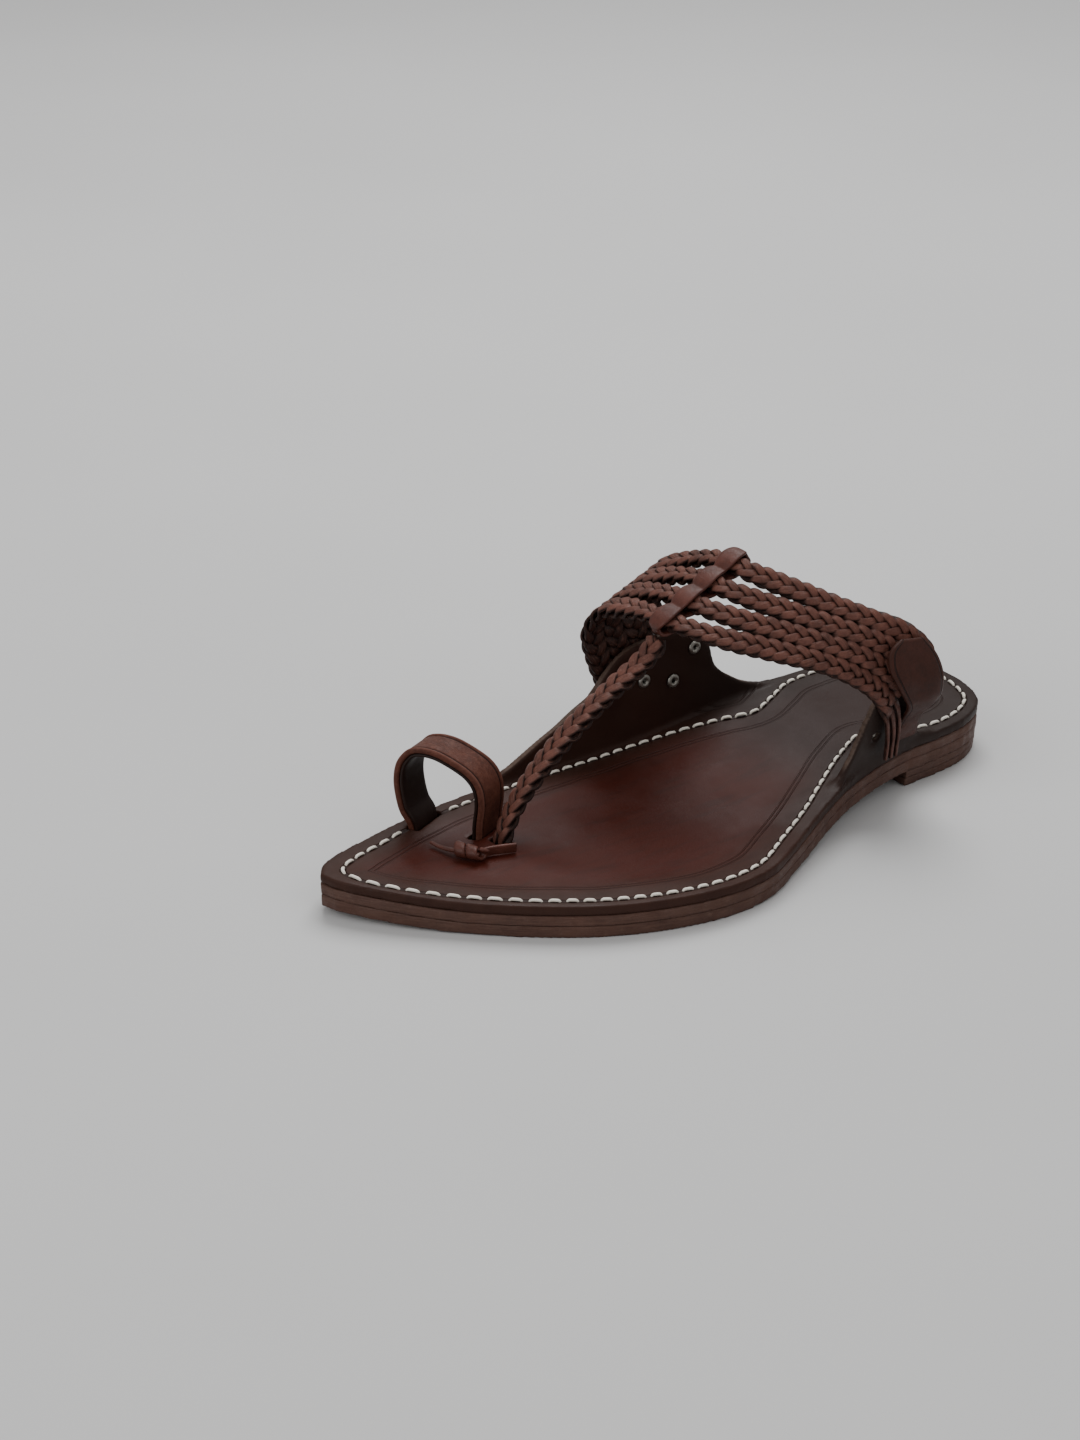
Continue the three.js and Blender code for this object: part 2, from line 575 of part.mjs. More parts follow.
const box = new THREE.Box3().setFromObject(sandal);
sandal.position.set(-(box.min.x + box.max.x) / 2, -(box.min.y + box.max.y) / 2, -box.min.z);

export default sandal;
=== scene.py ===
"""Left leather flip flop: plaited instep band and T-strap, toe loop, stitched sole, low heel."""
import math

import bmesh
import bpy
import numpy as np
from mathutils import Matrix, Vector


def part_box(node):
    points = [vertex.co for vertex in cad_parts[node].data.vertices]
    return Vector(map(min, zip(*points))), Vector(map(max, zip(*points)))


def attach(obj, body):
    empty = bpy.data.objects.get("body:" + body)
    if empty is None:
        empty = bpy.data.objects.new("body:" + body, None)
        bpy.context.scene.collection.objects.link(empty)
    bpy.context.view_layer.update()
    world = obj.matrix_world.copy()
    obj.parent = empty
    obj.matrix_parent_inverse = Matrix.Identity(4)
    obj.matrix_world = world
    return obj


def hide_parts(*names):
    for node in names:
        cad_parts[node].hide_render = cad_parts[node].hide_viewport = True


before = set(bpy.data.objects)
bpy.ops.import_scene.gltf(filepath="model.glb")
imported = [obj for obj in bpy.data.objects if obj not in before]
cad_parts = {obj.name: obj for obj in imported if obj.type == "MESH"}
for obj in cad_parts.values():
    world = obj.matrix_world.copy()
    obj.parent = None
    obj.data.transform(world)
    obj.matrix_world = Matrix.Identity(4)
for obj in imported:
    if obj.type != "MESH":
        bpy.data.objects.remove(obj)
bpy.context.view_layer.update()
noise = np.random.default_rng(11)

# ---- Dimensions, in millimetres, around the middle of the sole ----
MM = 0.001  # a millimetre in metres
ORIGIN = np.array([4.368, -2.309, 0.0])  # from the drawing's centre to the part's origin
UP = (0.0, 0.0, 1.0)
GAP = 0.3  # between CAD pieces that touch

OUTSOLE, MIDSOLE, FOOTBED = 4.2, 3.7, 3.6
SOLE = OUTSOLE + MIDSOLE + FOOTBED + 2 * GAP
HEEL_RISE, HEEL_BREAST_Y = 6.6, 86.0
TREAD_Y = (-98.0, -8.0)  # the flat stretch under the ball
TOE_SPRING, TOE_RUN = 3.0, 42
LAYER_VOXEL, FOOTBED_VOXEL = 0.0006, 0.0008  # metres
SWELL = 0.14  # closes most of the gap between cemented layers
WEAR_DEPTH, WEAR_WAVES, EAR_WAVES = 0.5, 0.18, 0.35
CUT_WAVES, CUT_GRAIN, FRAY = 0.12, 0.06, 0.12
SIDE_STITCH, TOE_STITCH = 5.7, 7.0  # stitch pitches
STITCH_WIDTH, STITCH_RISE, STITCH_SINK, STITCH_SLANT = 1.2, 0.5, 1.25, 0.16
STITCH_HALF = 0.37  # half a stitch, as a share of its pitch
CREASE_LINES = (8.3, 9.9)  # distances inside the stitching
NAILS = 5

WALL_THICK, FOLD_DEPTH, EAR_TOP_Z = 3.0, 2, 50.0
LATERAL_TOP_X, LATERAL_FOOT_X, LATERAL_FOOT_Y, LATERAL_SLANT = 25.5, 23, 60, 0.2
MEDIAL_TOP_X, MEDIAL_FOOT_X = -53.5, -54.2

STRANDS = 5
STRAND_STEP, STRAND_CORNERS = 0.5, 14
STRAND_SHARE, LOOSE_LOSS = 0.39, 0.14  # a strand's share of the plait's width, less when loose
PLY_SHARE = 0.36  # a strand's share of the plait's thickness
SQUARENESS = 1.7  # how sharply a strand changes from over to under
BRAID_WIDTH, BRAID_THICK, BRAID_SPREAD = 9.2, 4.0, 0.6
BRAID_PINCH, PINCH_REACH = 2.5, (36, 25)
BRAID_PRESS = 0.3  # neighbours press together this much where they meet
BRAID_PITCH, BRAID_PHASE, FRONT_LOOSE = 25.0, 1.3, 24.0
T_STRAP_FOOT, T_STRAP_WIDENING, T_STRAP_THICK = 7.2, 2.2, 4.2
T_STRAP_PITCH, T_STRAP_PHASE, T_STRAP_LOOSE = 27.0, 0.4, 3.0
BRAID_LIFT = WALL_THICK / 2 + GAP + BRAID_THICK / 2

WRAP_X, WRAP_OVERHANG, WRAP_DOME = -18.0, 5.4, 5.5
WRAP_TOP, WRAP_LOW = (3.1, 0.9), (2.9, 1.3)  # height on a braid, and drawn in between two
WRAP_NARROW, WRAP_WIDEN, WRAP_HALF_THICK = 4.6, 4.2, 0.7

RIVET_BORE, RIVET_SHANK, RIVET_RING, RIVET_ROUND, RIVET_DOME = 0.8, 1.4, 1.75, 0.95, 0.85

PATCH_THICK, PATCH_ROWS = 1.6, 60
LATERAL_STANDOFF, LATERAL_FLARE, LATERAL_LEAN = 2.7, 0.8, 3.6
MEDIAL_STANDOFF = 2.6
LATERAL_BULGE, MEDIAL_BULGE = 1.0, 0.8
PATCH_LIFT = BRAID_LIFT + BRAID_THICK / 2 + GAP + PATCH_THICK / 2

LOOP_BAND, LOOP_SHELL, LOOP_LINING = 14.0, 1.8, 1.3
LOOP_SPAN, LOOP_HEIGHT, LOOP_DEPTH, LOOP_TUCK = 32.6, 31.4, 2.2, (5.2, 1.3)
LOOP_TURN, LOOP_SKEW, LOOP_CENTRE = 0.66, 0.26, (-37.9, -77.6)
FOOT_TAPER = 0.06  # narrower where the loop enters its slots
LOOP_CROWN, EDGE_ROLL, EDGE_BEAD, EDGE_GROOVE = 0.15, 0.7, 0.32, 0.5

KNOT_Y, KNOT_TURNS, KNOT_ADVANCE = -87.0, 2.35, 4.7
KNOT_RADIUS, KNOT_HEIGHT, THONG_WIDTH, THONG_THICK = 2.25, 1.75, 4.3, 1.5

OUTLINE = [
    (-28.5, -136.8), (-18, -132.5), (-4, -121.5), (10, -108), (28, -87.5), (42, -67), (51, -45),
    (55, -24), (53.2, -5), (44, 14.5), (34, 34), (26.5, 51), (21, 70), (17.5, 88), (16.5, 104),
    (13.5, 121), (5, 134.5), (-7, 140), (-20, 141.5), (-34, 138.5), (-46, 129.5), (-52.5, 115),
    (-54.5, 97), (-54.5, 75), (-54.2, 50), (-54.5, 20), (-54.5, -15), (-54, -48), (-52, -76),
    (-47.5, -101), (-41.5, -119), (-35, -131.5)]
STITCH_LINE = [
    (-46.4, -72.8), (-48, -50.5), (-48.7, -15), (-48.2, 10), (-45.5, 30), (-41.5, 47), (-37.5, 60),
    (-42, 72), (-47.5, 84), (-49, 98), (-47.5, 112), (-41.5, 126), (-31, 134), (-20, 136),
    (-8, 134.6), (2, 130), (8.8, 119), (11, 104), (8, 92), (1.5, 80), (8, 64), (20, 44), (29.5, 29),
    (39.5, 10.5), (48.6, -7), (50.6, -24), (47.2, -44), (39, -64), (25.5, -84.5), (8, -104.5),
    (-5.5, -118), (-17, -126.8), (-26.3, -129), (-33.2, -119.6), (-39.8, -102.2), (-42.6, -94)]
FRONT_BRAID = [
    (25.4, 71.5, 21), (27.2, 70.4, 33), (28.6, 67, 43.5), (28.8, 60, 52.7), (26.5, 51, 59.8),
    (22, 41.5, 65), (13, 27.5, 70), (1, 11.5, 75), (-10, 4.2, 77), (-18, 2.5, 77.2),
    (-27, 2, 76.6), (-41, 1, 74.2), (-52, -0.5, 69.5), (-57, -1.8, 60), (-57.6, 1, 49),
    (-57.4, 5.5, 37), (-57, 8, 25)]
BACK_BRAID = [
    (28.6, 85, 42.5), (29.4, 85.2, 49), (29.8, 84, 56), (29.8, 80.8, 63), (26.5, 73, 70.8),
    (20.5, 63, 76), (10, 51, 81.8), (-1, 40, 87.4), (-10, 32, 91.4), (-18, 31, 91.8),
    (-27, 30.4, 90.8), (-41, 27, 86), (-52, 23.5, 79.5), (-57.2, 23, 68), (-57.8, 27.5, 56),
    (-57.4, 33, 46), (-57.2, 36, 38)]
WRAP_STATION = 9  # the point of either route that lies under the wrap
T_STRAP = [
    (-17.4, -69.6, 9.4), (-17.5, -68.4, 14.5), (-18, -62.8, 24), (-18.4, -55.5, 32),
    (-18.5, -46, 40.4), (-18.7, -34, 49), (-18.9, -20, 57), (-18.4, -9, 63.4),
    (-17.6, -4.2, 68.2), (-17.3, -2.7, 71.4)]
LATERAL_RIVETS = [(66, 30), (74, 37), (81, 30)]
MEDIAL_RIVETS = [(18.5, 36), (32, 32.5), (42, 43.5)]
LATERAL_PATCH = (
    [(76.5, 23.5), (75.8, 33), (72.5, 42), (68, 49), (64.5, 55), (62.3, 61), (63.5, 67),
     (68.5, 70.5)],
    [(88.5, 23.5), (86.4, 31), (85, 38), (85.4, 46), (85.6, 55), (83.6, 62.5), (78.5, 68.9)])
MEDIAL_PATCH = (
    [(13, 19), (12.8, 26), (12.6, 33), (12.8, 41), (15, 48), (21, 52)],
    [(55, 19), (52, 26), (50, 34), (48.5, 42), (45, 48.5), (38, 52.5)])
# Each braid's place from front to back, and the part of its route that it covers
BRAIDS = {
    "front": (0.0, 0.0, 1.0),
    "second": (1 / 3, 0.11, 0.94),
    "third": (2 / 3, 0.1, 0.97),
    "back": (1.0, 0.09, 1.0),
}


# ---- Curves ----
def catmull(points, closed=False, per=24):
    """Dense points of a centripetal Catmull-Rom curve, per of them in each span."""
    p = np.array([(*q, 0.0)[:3] for q in points], float)
    n = len(p)
    rows = []
    for i in range(n if closed else n - 1):
        if closed:
            a, b, c, d = p[(i - 1) % n], p[i], p[(i + 1) % n], p[(i + 2) % n]
        else:
            b, c = p[i], p[i + 1]
            a = p[i - 1] if i else 2 * b - c
            d = p[i + 2] if i + 2 < n else 2 * c - b
        k0, k1, k2 = (np.dot(v, v) ** 0.25 for v in (b - a, c - b, d - c))
        t1 = ((b - a) / k0 - (c - a) / (k0 + k1) + (c - b) / k1) * k1
        t2 = ((c - b) / k1 - (d - b) / (k1 + k2) + (d - c) / k2) * k1
        t = np.linspace(0, 1, per, endpoint=False)[:, None]
        bend = (-3 * b + 3 * c - 2 * t1 - t2) * t**2
        rows.append(b + t1 * t + bend + (2 * b - 2 * c + t1 + t2) * t**3)
    rows.append(p[:1] if closed else p[-1:])
    return np.concatenate(rows)


def arc(points):
    """Distance along a polyline to each of its points."""
    return np.concatenate([[0.0], np.cumsum(np.linalg.norm(np.diff(points, axis=0), axis=1))])


def resample(values, old, new):
    return np.stack([np.interp(new, old, values[:, k]) for k in range(values.shape[1])], 1)


def along(points, s):
    """Points at distances s along a polyline."""
    return resample(points, arc(points), s)


def even(points, count, start=0.0, end=1.0):
    """count points evenly spaced from share start to share end of a polyline."""
    total = arc(points)[-1]
    return along(points, np.linspace(start * total, end * total, count))


def unit(v):
    return v / np.maximum(np.linalg.norm(v, axis=-1, keepdims=True), 1e-12)


def tangents(points):
    return unit(np.gradient(points, axis=0))


def square_to(v, t):
    """v without its part along the unit directions t."""
    return v - (v * t).sum(1, keepdims=True) * t


def smooth(t):
    t = np.clip(t, 0, 1)
    return t * t * (3 - 2 * t)


def ripple(points, size, seed):
    """Smooth random height from a few crossed waves, about -1 to 1."""
    waves = np.random.default_rng(seed)
    total = np.zeros(len(points))
    for _ in range(7):
        k = waves.normal(size=3)
        turns = 2 * np.pi / (size * waves.uniform(0.7, 1.5))
        total += np.sin(points @ (k / np.linalg.norm(k)) * turns + waves.uniform(0, 6.28))
    return total / 4


# ---- The sole's heights and the ears' faces ----
def underside(y):
    toe = TOE_SPRING * smooth((TREAD_Y[0] - y) / TOE_RUN) ** 1.2
    return toe + HEEL_RISE * smooth((y - TREAD_Y[1]) / (HEEL_BREAST_Y - TREAD_Y[1]))


def footbed_top(y):
    return underside(y) + SOLE


def ear_rise(y, z):
    """How far up an ear a point is, from 0 at its fold to 1 at its top."""
    top = footbed_top(y)
    return smooth((z - top + FOLD_DEPTH) / (EAR_TOP_Z - top + FOLD_DEPTH))


def lateral_x(y, z):
    foot = LATERAL_FOOT_X - LATERAL_SLANT * (y - LATERAL_FOOT_Y) - WALL_THICK / 2
    return foot + (LATERAL_TOP_X - foot) * ear_rise(y, z)


def medial_x(y, z):
    foot = MEDIAL_FOOT_X + WALL_THICK / 2
    return foot + (MEDIAL_TOP_X - foot) * ear_rise(y, z)


edge_line = catmull(OUTLINE, closed=True, per=6)[:, :2]
seam_line = catmull(STITCH_LINE, closed=True, per=6)[:, :2]


# ---- Mesh building ----
class Build:
    """Collects tubes, in millimetres and with a UV pair per vertex, into one mesh."""

    def __init__(self):
        self.points, self.faces, self.uv, self.count = [], [], [], 0

    def tube(self, rings, closed=False, uv=None):
        """A skin over rings of points, an array of shape (stations, corners, 3)."""
        n, m = rings.shape[:2]
        faces = []
        for i in range(n if closed else n - 1):
            j = (i + 1) % n
            for k in range(m):
                q = (k + 1) % m
                faces.append((i * m + k, i * m + q, j * m + q, j * m + k))
        if not closed:
            faces += [tuple(range(m))[::-1], tuple((n - 1) * m + k for k in range(m))]
        if uv is None:
            around = np.linspace(0, 1, m, endpoint=False)
            uv = np.stack(np.broadcast_arrays(around[None, :], arc(rings.mean(1))[:, None]), -1)
        self.points.append(rings.reshape(-1, 3))
        self.faces += [tuple(i + self.count for i in f) for f in faces]
        self.uv.append(uv.reshape(-1, 2))
        self.count += n * m

    def object(self, name):
        mesh = bpy.data.meshes.new(name)
        points = (np.concatenate(self.points) + ORIGIN) * MM
        mesh.from_pydata(points.tolist(), [], self.faces)
        layer = mesh.uv_layers.new(name="UVMap")
        loops = np.zeros(len(mesh.loops), int)
        mesh.loops.foreach_get("vertex_index", loops)
        layer.data.foreach_set("uv", np.concatenate(self.uv)[loops].ravel())
        made = bmesh.new()
        made.from_mesh(mesh)
        bmesh.ops.recalc_face_normals(made, faces=made.faces)
        made.to_mesh(mesh)
        made.free()
        return smooth_object(name, mesh)


def smooth_object(name, mesh):
    """A new smooth-shaded object in the scene."""
    mesh.polygons.foreach_set("use_smooth", [True] * len(mesh.polygons))
    obj = bpy.data.objects.new(name, mesh)
    bpy.context.scene.collection.objects.link(obj)
    return obj


def superellipse(corners, power):
    """Unit outline as (across, out) pairs; a low power gives a squarer section."""
    a = 2 * np.pi * (np.arange(corners) + 0.5) / corners
    return np.stack([np.sign(wave) * abs(wave) ** power for wave in (np.cos(a), np.sin(a))], 1)


def sweep(path, out, width, thick, section):
    """Rings of a strap along path; out is its outward side at each station."""
    t = tangents(path)
    o = unit(square_to(out, t))
    across = np.cross(t, o)
    w = np.broadcast_to(width, len(path))[:, None, None] / 2
    h = np.broadcast_to(thick, len(path))[:, None, None] / 2
    sideways = across[:, None] * section[None, :, :1] * w
    return path[:, None] + sideways + o[:, None] * section[None, :, 1:] * h


# ---- Materials ----
class Nodes:
    """A new material, with short calls for building its node tree."""

    def __init__(self, name):
        self.made = bpy.data.materials.new(name)
        self.made.use_nodes = True
        self.tree = self.made.node_tree
        self.shader = self.tree.nodes["Principled BSDF"].inputs
        coord = self.tree.nodes.new("ShaderNodeTexCoord").outputs
        self.place, self.uv = coord["Object"], coord["UV"]

    def new(self, kind, **values):
        node = self.tree.nodes.new(kind)
        for key, value in values.items():
            setattr(node, key, value)
        return node

    def put(self, socket, value):
        """Links a socket to another's output, or sets it to a constant."""
        if isinstance(value, bpy.types.NodeSocket):
            self.tree.links.new(value, socket)
        elif value is not None:
            socket.default_value = value

    def fill(self, node, **values):
        """Puts values on a node's inputs by name, with _ for a space."""
        for key, value in values.items():
            self.put(node.inputs[key.replace("_", " ")], value)
        return node

    def math(self, operation, a, b=None):
        node = self.new("ShaderNodeMath", operation=operation)
        for socket, value in zip(node.inputs, (a, b)):
            self.put(socket, value)
        return node.outputs[0]

    def invert(self, value):
        return self.math("SUBTRACT", 1.0, value)

    def noise(self, scale, detail=3.0, rough=0.55, vector=None, distortion=0.0):
        node = self.fill(self.new("ShaderNodeTexNoise"), Vector=vector or self.place, Scale=scale,
                         Detail=detail, Roughness=rough, Distortion=distortion)
        return node.outputs["Fac"]

    def cells(self, scale):
        """Distance to the nearest border between random cells."""
        node = self.new("ShaderNodeTexVoronoi", feature="DISTANCE_TO_EDGE")
        return self.fill(node, Vector=self.place, Scale=scale).outputs["Distance"]

    def stretch(self, scale, vector=None):
        node = self.new("ShaderNodeMapping")
        return self.fill(node, Vector=vector or self.place, Scale=scale).outputs[0]

    def parts(self, vector):
        """The X, Y and Z of a vector."""
        node = self.new("ShaderNodeSeparateXYZ")
        self.put(node.inputs[0], vector)
        return node.outputs

    def ramp(self, value, stops):
        node = self.new("ShaderNodeValToRGB")
        self.put(node.inputs[0], value)
        for element, (place, colour) in zip(node.color_ramp.elements, stops):
            element.position = place
            element.color = (*colour, 1.0)
        return node.outputs[0]

    def mix(self, factor, a, b):
        node = self.new("ShaderNodeMix", data_type="RGBA")
        self.put(node.inputs[0], factor)
        for socket, value in ((node.inputs[6], a), (node.inputs[7], b)):
            self.put(socket, (*value, 1.0) if isinstance(value, tuple) else value)
        return node.outputs[2]

    def range(self, value, low, high, to_low=0.0, to_high=1.0):
        node = self.new("ShaderNodeMapRange", interpolation_type="SMOOTHSTEP")
        self.fill(node, Value=value, From_Min=low, From_Max=high, To_Min=to_low, To_Max=to_high)
        return node.outputs[0]

    def attribute(self, name):
        return self.new("ShaderNodeAttribute", attribute_name=name).outputs["Fac"]

    def bump(self, height, strength, distance, normal=None):
        node = self.fill(self.new("ShaderNodeBump"), Strength=strength, Distance=distance,
                         Height=height, Normal=normal)
        return node.outputs[0]

    def finish(self, colour, rough, normal):
        self.put(self.shader["Base Color"], colour)
        self.put(self.shader["Roughness"], rough)
        self.put(self.shader["Normal"], normal)
        return self.made


def leather(name, dark, light, rough, grain, grain_depth, scale, wrinkle=0.0, gloss=0.3,
            extra=None):
    """Dyed leather: patchy colour, pebbled grain, fine wrinkles and uneven polish."""
    n = Nodes(name)
    patches = n.noise(scale, 4.0, 0.6)
    fine = n.noise(scale * 12, 3.0, 0.6)
    tone = n.math("ADD", n.math("MULTIPLY", patches, 0.7), n.math("MULTIPLY", fine, 0.3))
    colour = n.ramp(tone, [(0.3, dark), (0.7, light)])
    pebbles = n.math("MULTIPLY", n.range(n.cells(grain), 0.0, 0.16), 0.6)
    height = n.math("ADD", pebbles, n.math("MULTIPLY", n.noise(grain * 2.2, 2.0), 0.4))
    normal = n.bump(height, 0.55, grain_depth)
    if wrinkle:
        normal = n.bump(n.noise(grain * 0.16, 4.0, 0.65, distortion=0.8), 0.5, wrinkle, normal)
    polish = n.range(n.noise(scale * 2.2, 3.0), 0.35, 0.65, *rough)
    if extra:
        colour, polish, normal = extra(n, colour, polish, normal)
    n.put(n.shader["Specular IOR Level"], gloss)
    return n.finish(colour, polish, normal)


def steel(name, colour, rough):
    n = Nodes(name)
    wear = n.noise(900.0, 4.0, 0.6)
    dull = tuple(0.55 * c for c in colour)
    n.put(n.shader["Metallic"], 1.0)
    return n.finish(n.mix(wear, dull, colour), n.range(wear, 0.3, 0.7, rough, rough + 0.2),
                    n.bump(n.noise(2600.0, 3.0), 0.3, 0.00004))


def footbed_tones(n, colour, middle):
    """Antiqued edges, a redder middle with painted glow, painted grey heel sheen, darker streaks.
    """
    rim_tone = n.mix(0.6, colour, (0.038, 0.0185, 0.0125))
    # Partly painted glow: the middle's red is the leather's tone, deepened to stand in for a
    # reddish highlight.
    colour = n.mix(middle, rim_tone, n.mix(0.6, colour, (0.064, 0.0105, 0.0055)))
    # Painted sheen, not wear: the heel half is greyed where light glances off the leather.
    heelward = n.parts(n.place)[1]
    worn = n.math("MULTIPLY", n.range(heelward, 0.01, 0.06), 0.75)
    colour = n.mix(worn, colour, (0.016, 0.0105, 0.0088))
    streak = n.noise(1.0, 4.0, 0.6, vector=n.stretch((260.0, 45.0, 60.0)))
    return n.mix(n.range(streak, 0.45, 0.8, 0.0, 0.5), colour, (0.02, 0.007, 0.005))


def footbed_lines(n, top):
    """Depth of the double crease and the stitch channel, 1 where there is neither."""
    seam = n.attribute("seam")
    groove = n.range(n.math("ABSOLUTE", seam), 0.6, 1.3)
    for place in CREASE_LINES:
        line = n.math("ABSOLUTE", n.math("SUBTRACT", seam, place))
        groove = n.math("MULTIPLY", groove, n.range(line, 0.05, 0.5, 0.45, 1.0))
    return n.invert(n.math("MULTIPLY", n.invert(groove), top))


def footbed_marks(n, colour, polish, normal):
    """A polished middle, the lines inside the stitching, and paler leather where it is cut."""
    top = n.attribute("top")
    waver = n.math("MULTIPLY", n.noise(70.0, 3.0), 7.0)
    inward = n.range(n.math("ADD", n.attribute("rim"), waver), 9.0, 27.0)
    middle = n.math("MULTIPLY", inward, top)
    colour = footbed_tones(n, colour, middle)
    kept = footbed_lines(n, top)
    normal = n.bump(kept, 1.0, 0.0005, normal)
    colour = n.mix(n.math("MULTIPLY", n.invert(kept), 0.6), colour, (0.014, 0.006, 0.0045))
    polish = n.math("SUBTRACT", polish, n.math("MULTIPLY", middle, 0.07))
    fibre = n.range(n.noise(500.0, 4.0, 0.7), 0.3, 0.6, 0.45, 0.9)
    raw = n.math("MULTIPLY", n.attribute("cut"), fibre)
    return n.mix(raw, colour, (0.1, 0.067, 0.052)), polish, normal


def sole_edge_marks(n, colour, polish, normal):
    """Fibre layers running round the cut edge, with scuffs."""
    fibres = n.noise(1.0, 5.0, 0.7, vector=n.stretch((120.0, 120.0, 2600.0)))
    colour = n.mix(n.range(fibres, 0.35, 0.7, 0.0, 0.55), colour, (0.115, 0.06, 0.042))
    scuff = n.noise(420.0, 4.0, 0.7)
    colour = n.mix(n.range(scuff, 0.55, 0.8, 0.0, 0.35), colour, (0.16, 0.095, 0.07))
    return colour, polish, n.bump(fibres, 0.6, 0.00025, normal)


def loop_marks(n, colour, polish, normal):
    """Rubbed nap, paler rolled edges, and a dark line in the groove behind each edge."""
    nap = n.noise(650.0, 4.0, 0.7)
    lift = n.attribute("lift")
    colour = n.mix(n.range(nap, 0.42, 0.7, 0.0, 0.55), colour, (0.14, 0.053, 0.034))
    colour = n.mix(n.range(lift, -0.1, -0.7, 0.0, 0.6), colour, (0.165, 0.066, 0.047))
    return n.mix(n.range(lift, 0.1, 0.8), colour, (0.012, 0.004, 0.003)), polish, normal


def patch_marks(n, colour, polish, normal):
    """A crease close to both side edges of a patch, and darker rims."""
    across = n.parts(n.uv)[0]
    side = n.math("ABSOLUTE", n.math("SUBTRACT", across, 0.5))
    groove = n.range(n.math("ABSOLUTE", n.math("SUBTRACT", side, 0.42)), 0.004, 0.02)
    normal = n.bump(groove, 1.0, 0.0005, normal)
    colour = n.mix(n.range(side, 0.45, 0.5, 0.0, 0.5), colour, (0.03, 0.0115, 0.008))
    return n.mix(n.invert(groove), colour, (0.02, 0.008, 0.006)), polish, normal


def braid_marks(n, colour, polish, normal):
    """Creases along each strand, and painted shade where strands dive under and on their edges."""
    creases = n.noise(1.0, 4.0, 0.6, vector=n.stretch((26.0, 0.35, 1.0), n.uv))
    normal = n.bump(creases, 0.8, 0.0004, normal)
    # Painted shade: a low lift darkens the colour, standing in for shade on strands that pass
    # under.
    painted_tuck_shade = n.range(n.attribute("lift"), 0.15, 0.9, 0.95, 0.0)
    colour = n.mix(painted_tuck_shade, colour, (0.012, 0.005, 0.004))
    colour = n.mix(n.range(creases, 0.5, 0.7, 0.0, 0.5), colour, (0.2, 0.09, 0.062))
    return colour, polish, normal


MAT = {
    "footbed": leather(
        "footbed_leather", (0.024, 0.0068, 0.0045), (0.043, 0.0102, 0.0062), rough=(0.42, 0.58),
        grain=1300.0, grain_depth=0.00004, scale=22.0, wrinkle=0.0001, gloss=0.14,
        extra=footbed_marks),
    "edge": leather(
        "sole_edge_leather", (0.047, 0.0205, 0.015), (0.085, 0.038, 0.027), rough=(0.5, 0.72),
        grain=900.0, grain_depth=0.00008, scale=80.0, wrinkle=0.0002, extra=sole_edge_marks),
    "braid": leather(
        "braid_leather", (0.046, 0.0168, 0.0122), (0.158, 0.059, 0.0415), rough=(0.38, 0.55),
        grain=2200.0, grain_depth=0.00004, scale=160.0, gloss=0.2, extra=braid_marks),
    "strap": leather(
        "strap_leather", (0.042, 0.013, 0.009), (0.115, 0.036, 0.025), rough=(0.36, 0.52),
        grain=1700.0, grain_depth=0.00005, scale=170.0, wrinkle=0.0005, gloss=0.25),
    "patch": leather(
        "patch_leather", (0.023, 0.0076, 0.0048), (0.064, 0.0175, 0.0105), rough=(0.42, 0.58),
        grain=1500.0, grain_depth=0.00006, scale=70.0, wrinkle=0.00025, gloss=0.2,
        extra=patch_marks),
    "loop": leather(
        "loop_leather", (0.048, 0.0148, 0.0095), (0.105, 0.033, 0.0205), rough=(0.45, 0.62),
        grain=1250.0, grain_depth=0.00018, scale=110.0, wrinkle=0.0001, gloss=0.18,
        extra=loop_marks),
    "lining": leather(
        "lining_leather", (0.013, 0.0065, 0.005), (0.022, 0.0095, 0.007), rough=(0.4, 0.55),
        grain=1700.0, grain_depth=0.00004, scale=70.0, wrinkle=0.00015, gloss=0.2),
    "thread": leather(
        "waxed_thread", (0.72, 0.66, 0.57), (0.88, 0.84, 0.76), rough=(0.5, 0.65),
        grain=3000.0, grain_depth=0.00005, scale=260.0),
    "rivet": steel("dull_nickel", (0.42, 0.4, 0.36), 0.34),
    "nail": steel("dull_steel", (0.3, 0.285, 0.27), 0.4),
}


def finish_piece(obj, mat, node, body="sandal"):
    obj.data.materials.clear()
    obj.data.materials.append(MAT[mat])
    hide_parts(node)
    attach(obj, body)


# ---- Sole and footbed: the CAD solids with softened edges ----
def refined(node, name, voxel, rounds):
    """A copy of a CAD solid in small cells, smoothed so that its cut edges are rounded."""
    rough = bpy.data.objects.new(name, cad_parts[node].data.copy())
    bpy.context.scene.collection.objects.link(rough)
    remesh = rough.modifiers.new("Remesh", "REMESH")
    remesh.mode = "VOXEL"
    remesh.voxel_size = voxel
    soften = rough.modifiers.new("Smooth", "SMOOTH")
    soften.factor = 0.5
    soften.iterations = rounds
    graph = bpy.context.evaluated_depsgraph_get()
    mesh = bpy.data.meshes.new_from_object(rough.evaluated_get(graph), depsgraph=graph)
    bpy.data.objects.remove(rough)
    mesh.name = name
    return smooth_object(name, mesh)


def read_mesh(mesh):
    """A mesh's points, in millimetres, and its normals."""
    both = []
    for key in ("co", "normal"):
        flat = np.zeros(len(mesh.vertices) * 3)
        mesh.vertices.foreach_get(key, flat)
        both.append(flat.reshape(-1, 3))
    return both[0] * 1000 - ORIGIN, both[1]


def write_points(mesh, points):
    mesh.vertices.foreach_set("co", ((points + ORIGIN) * MM).ravel())
    mesh.update()


def set_attribute(mesh, name, values):
    layer = mesh.attributes.new(name, "FLOAT", "POINT")
    layer.data.foreach_set("value", np.asarray(values, np.float32))


def distance_to(points, line):
    """Distance in plan from each point to a polyline."""
    best = np.full(len(points), 1e9)
    for a, b in zip(line[:-1], line[1:]):
        d = b - a
        t = np.clip(((points - a) @ d) / max(d @ d, 1e-9), 0, 1)
        best = np.minimum(best, np.linalg.norm(points - a - t[:, None] * d, axis=1))
    return best


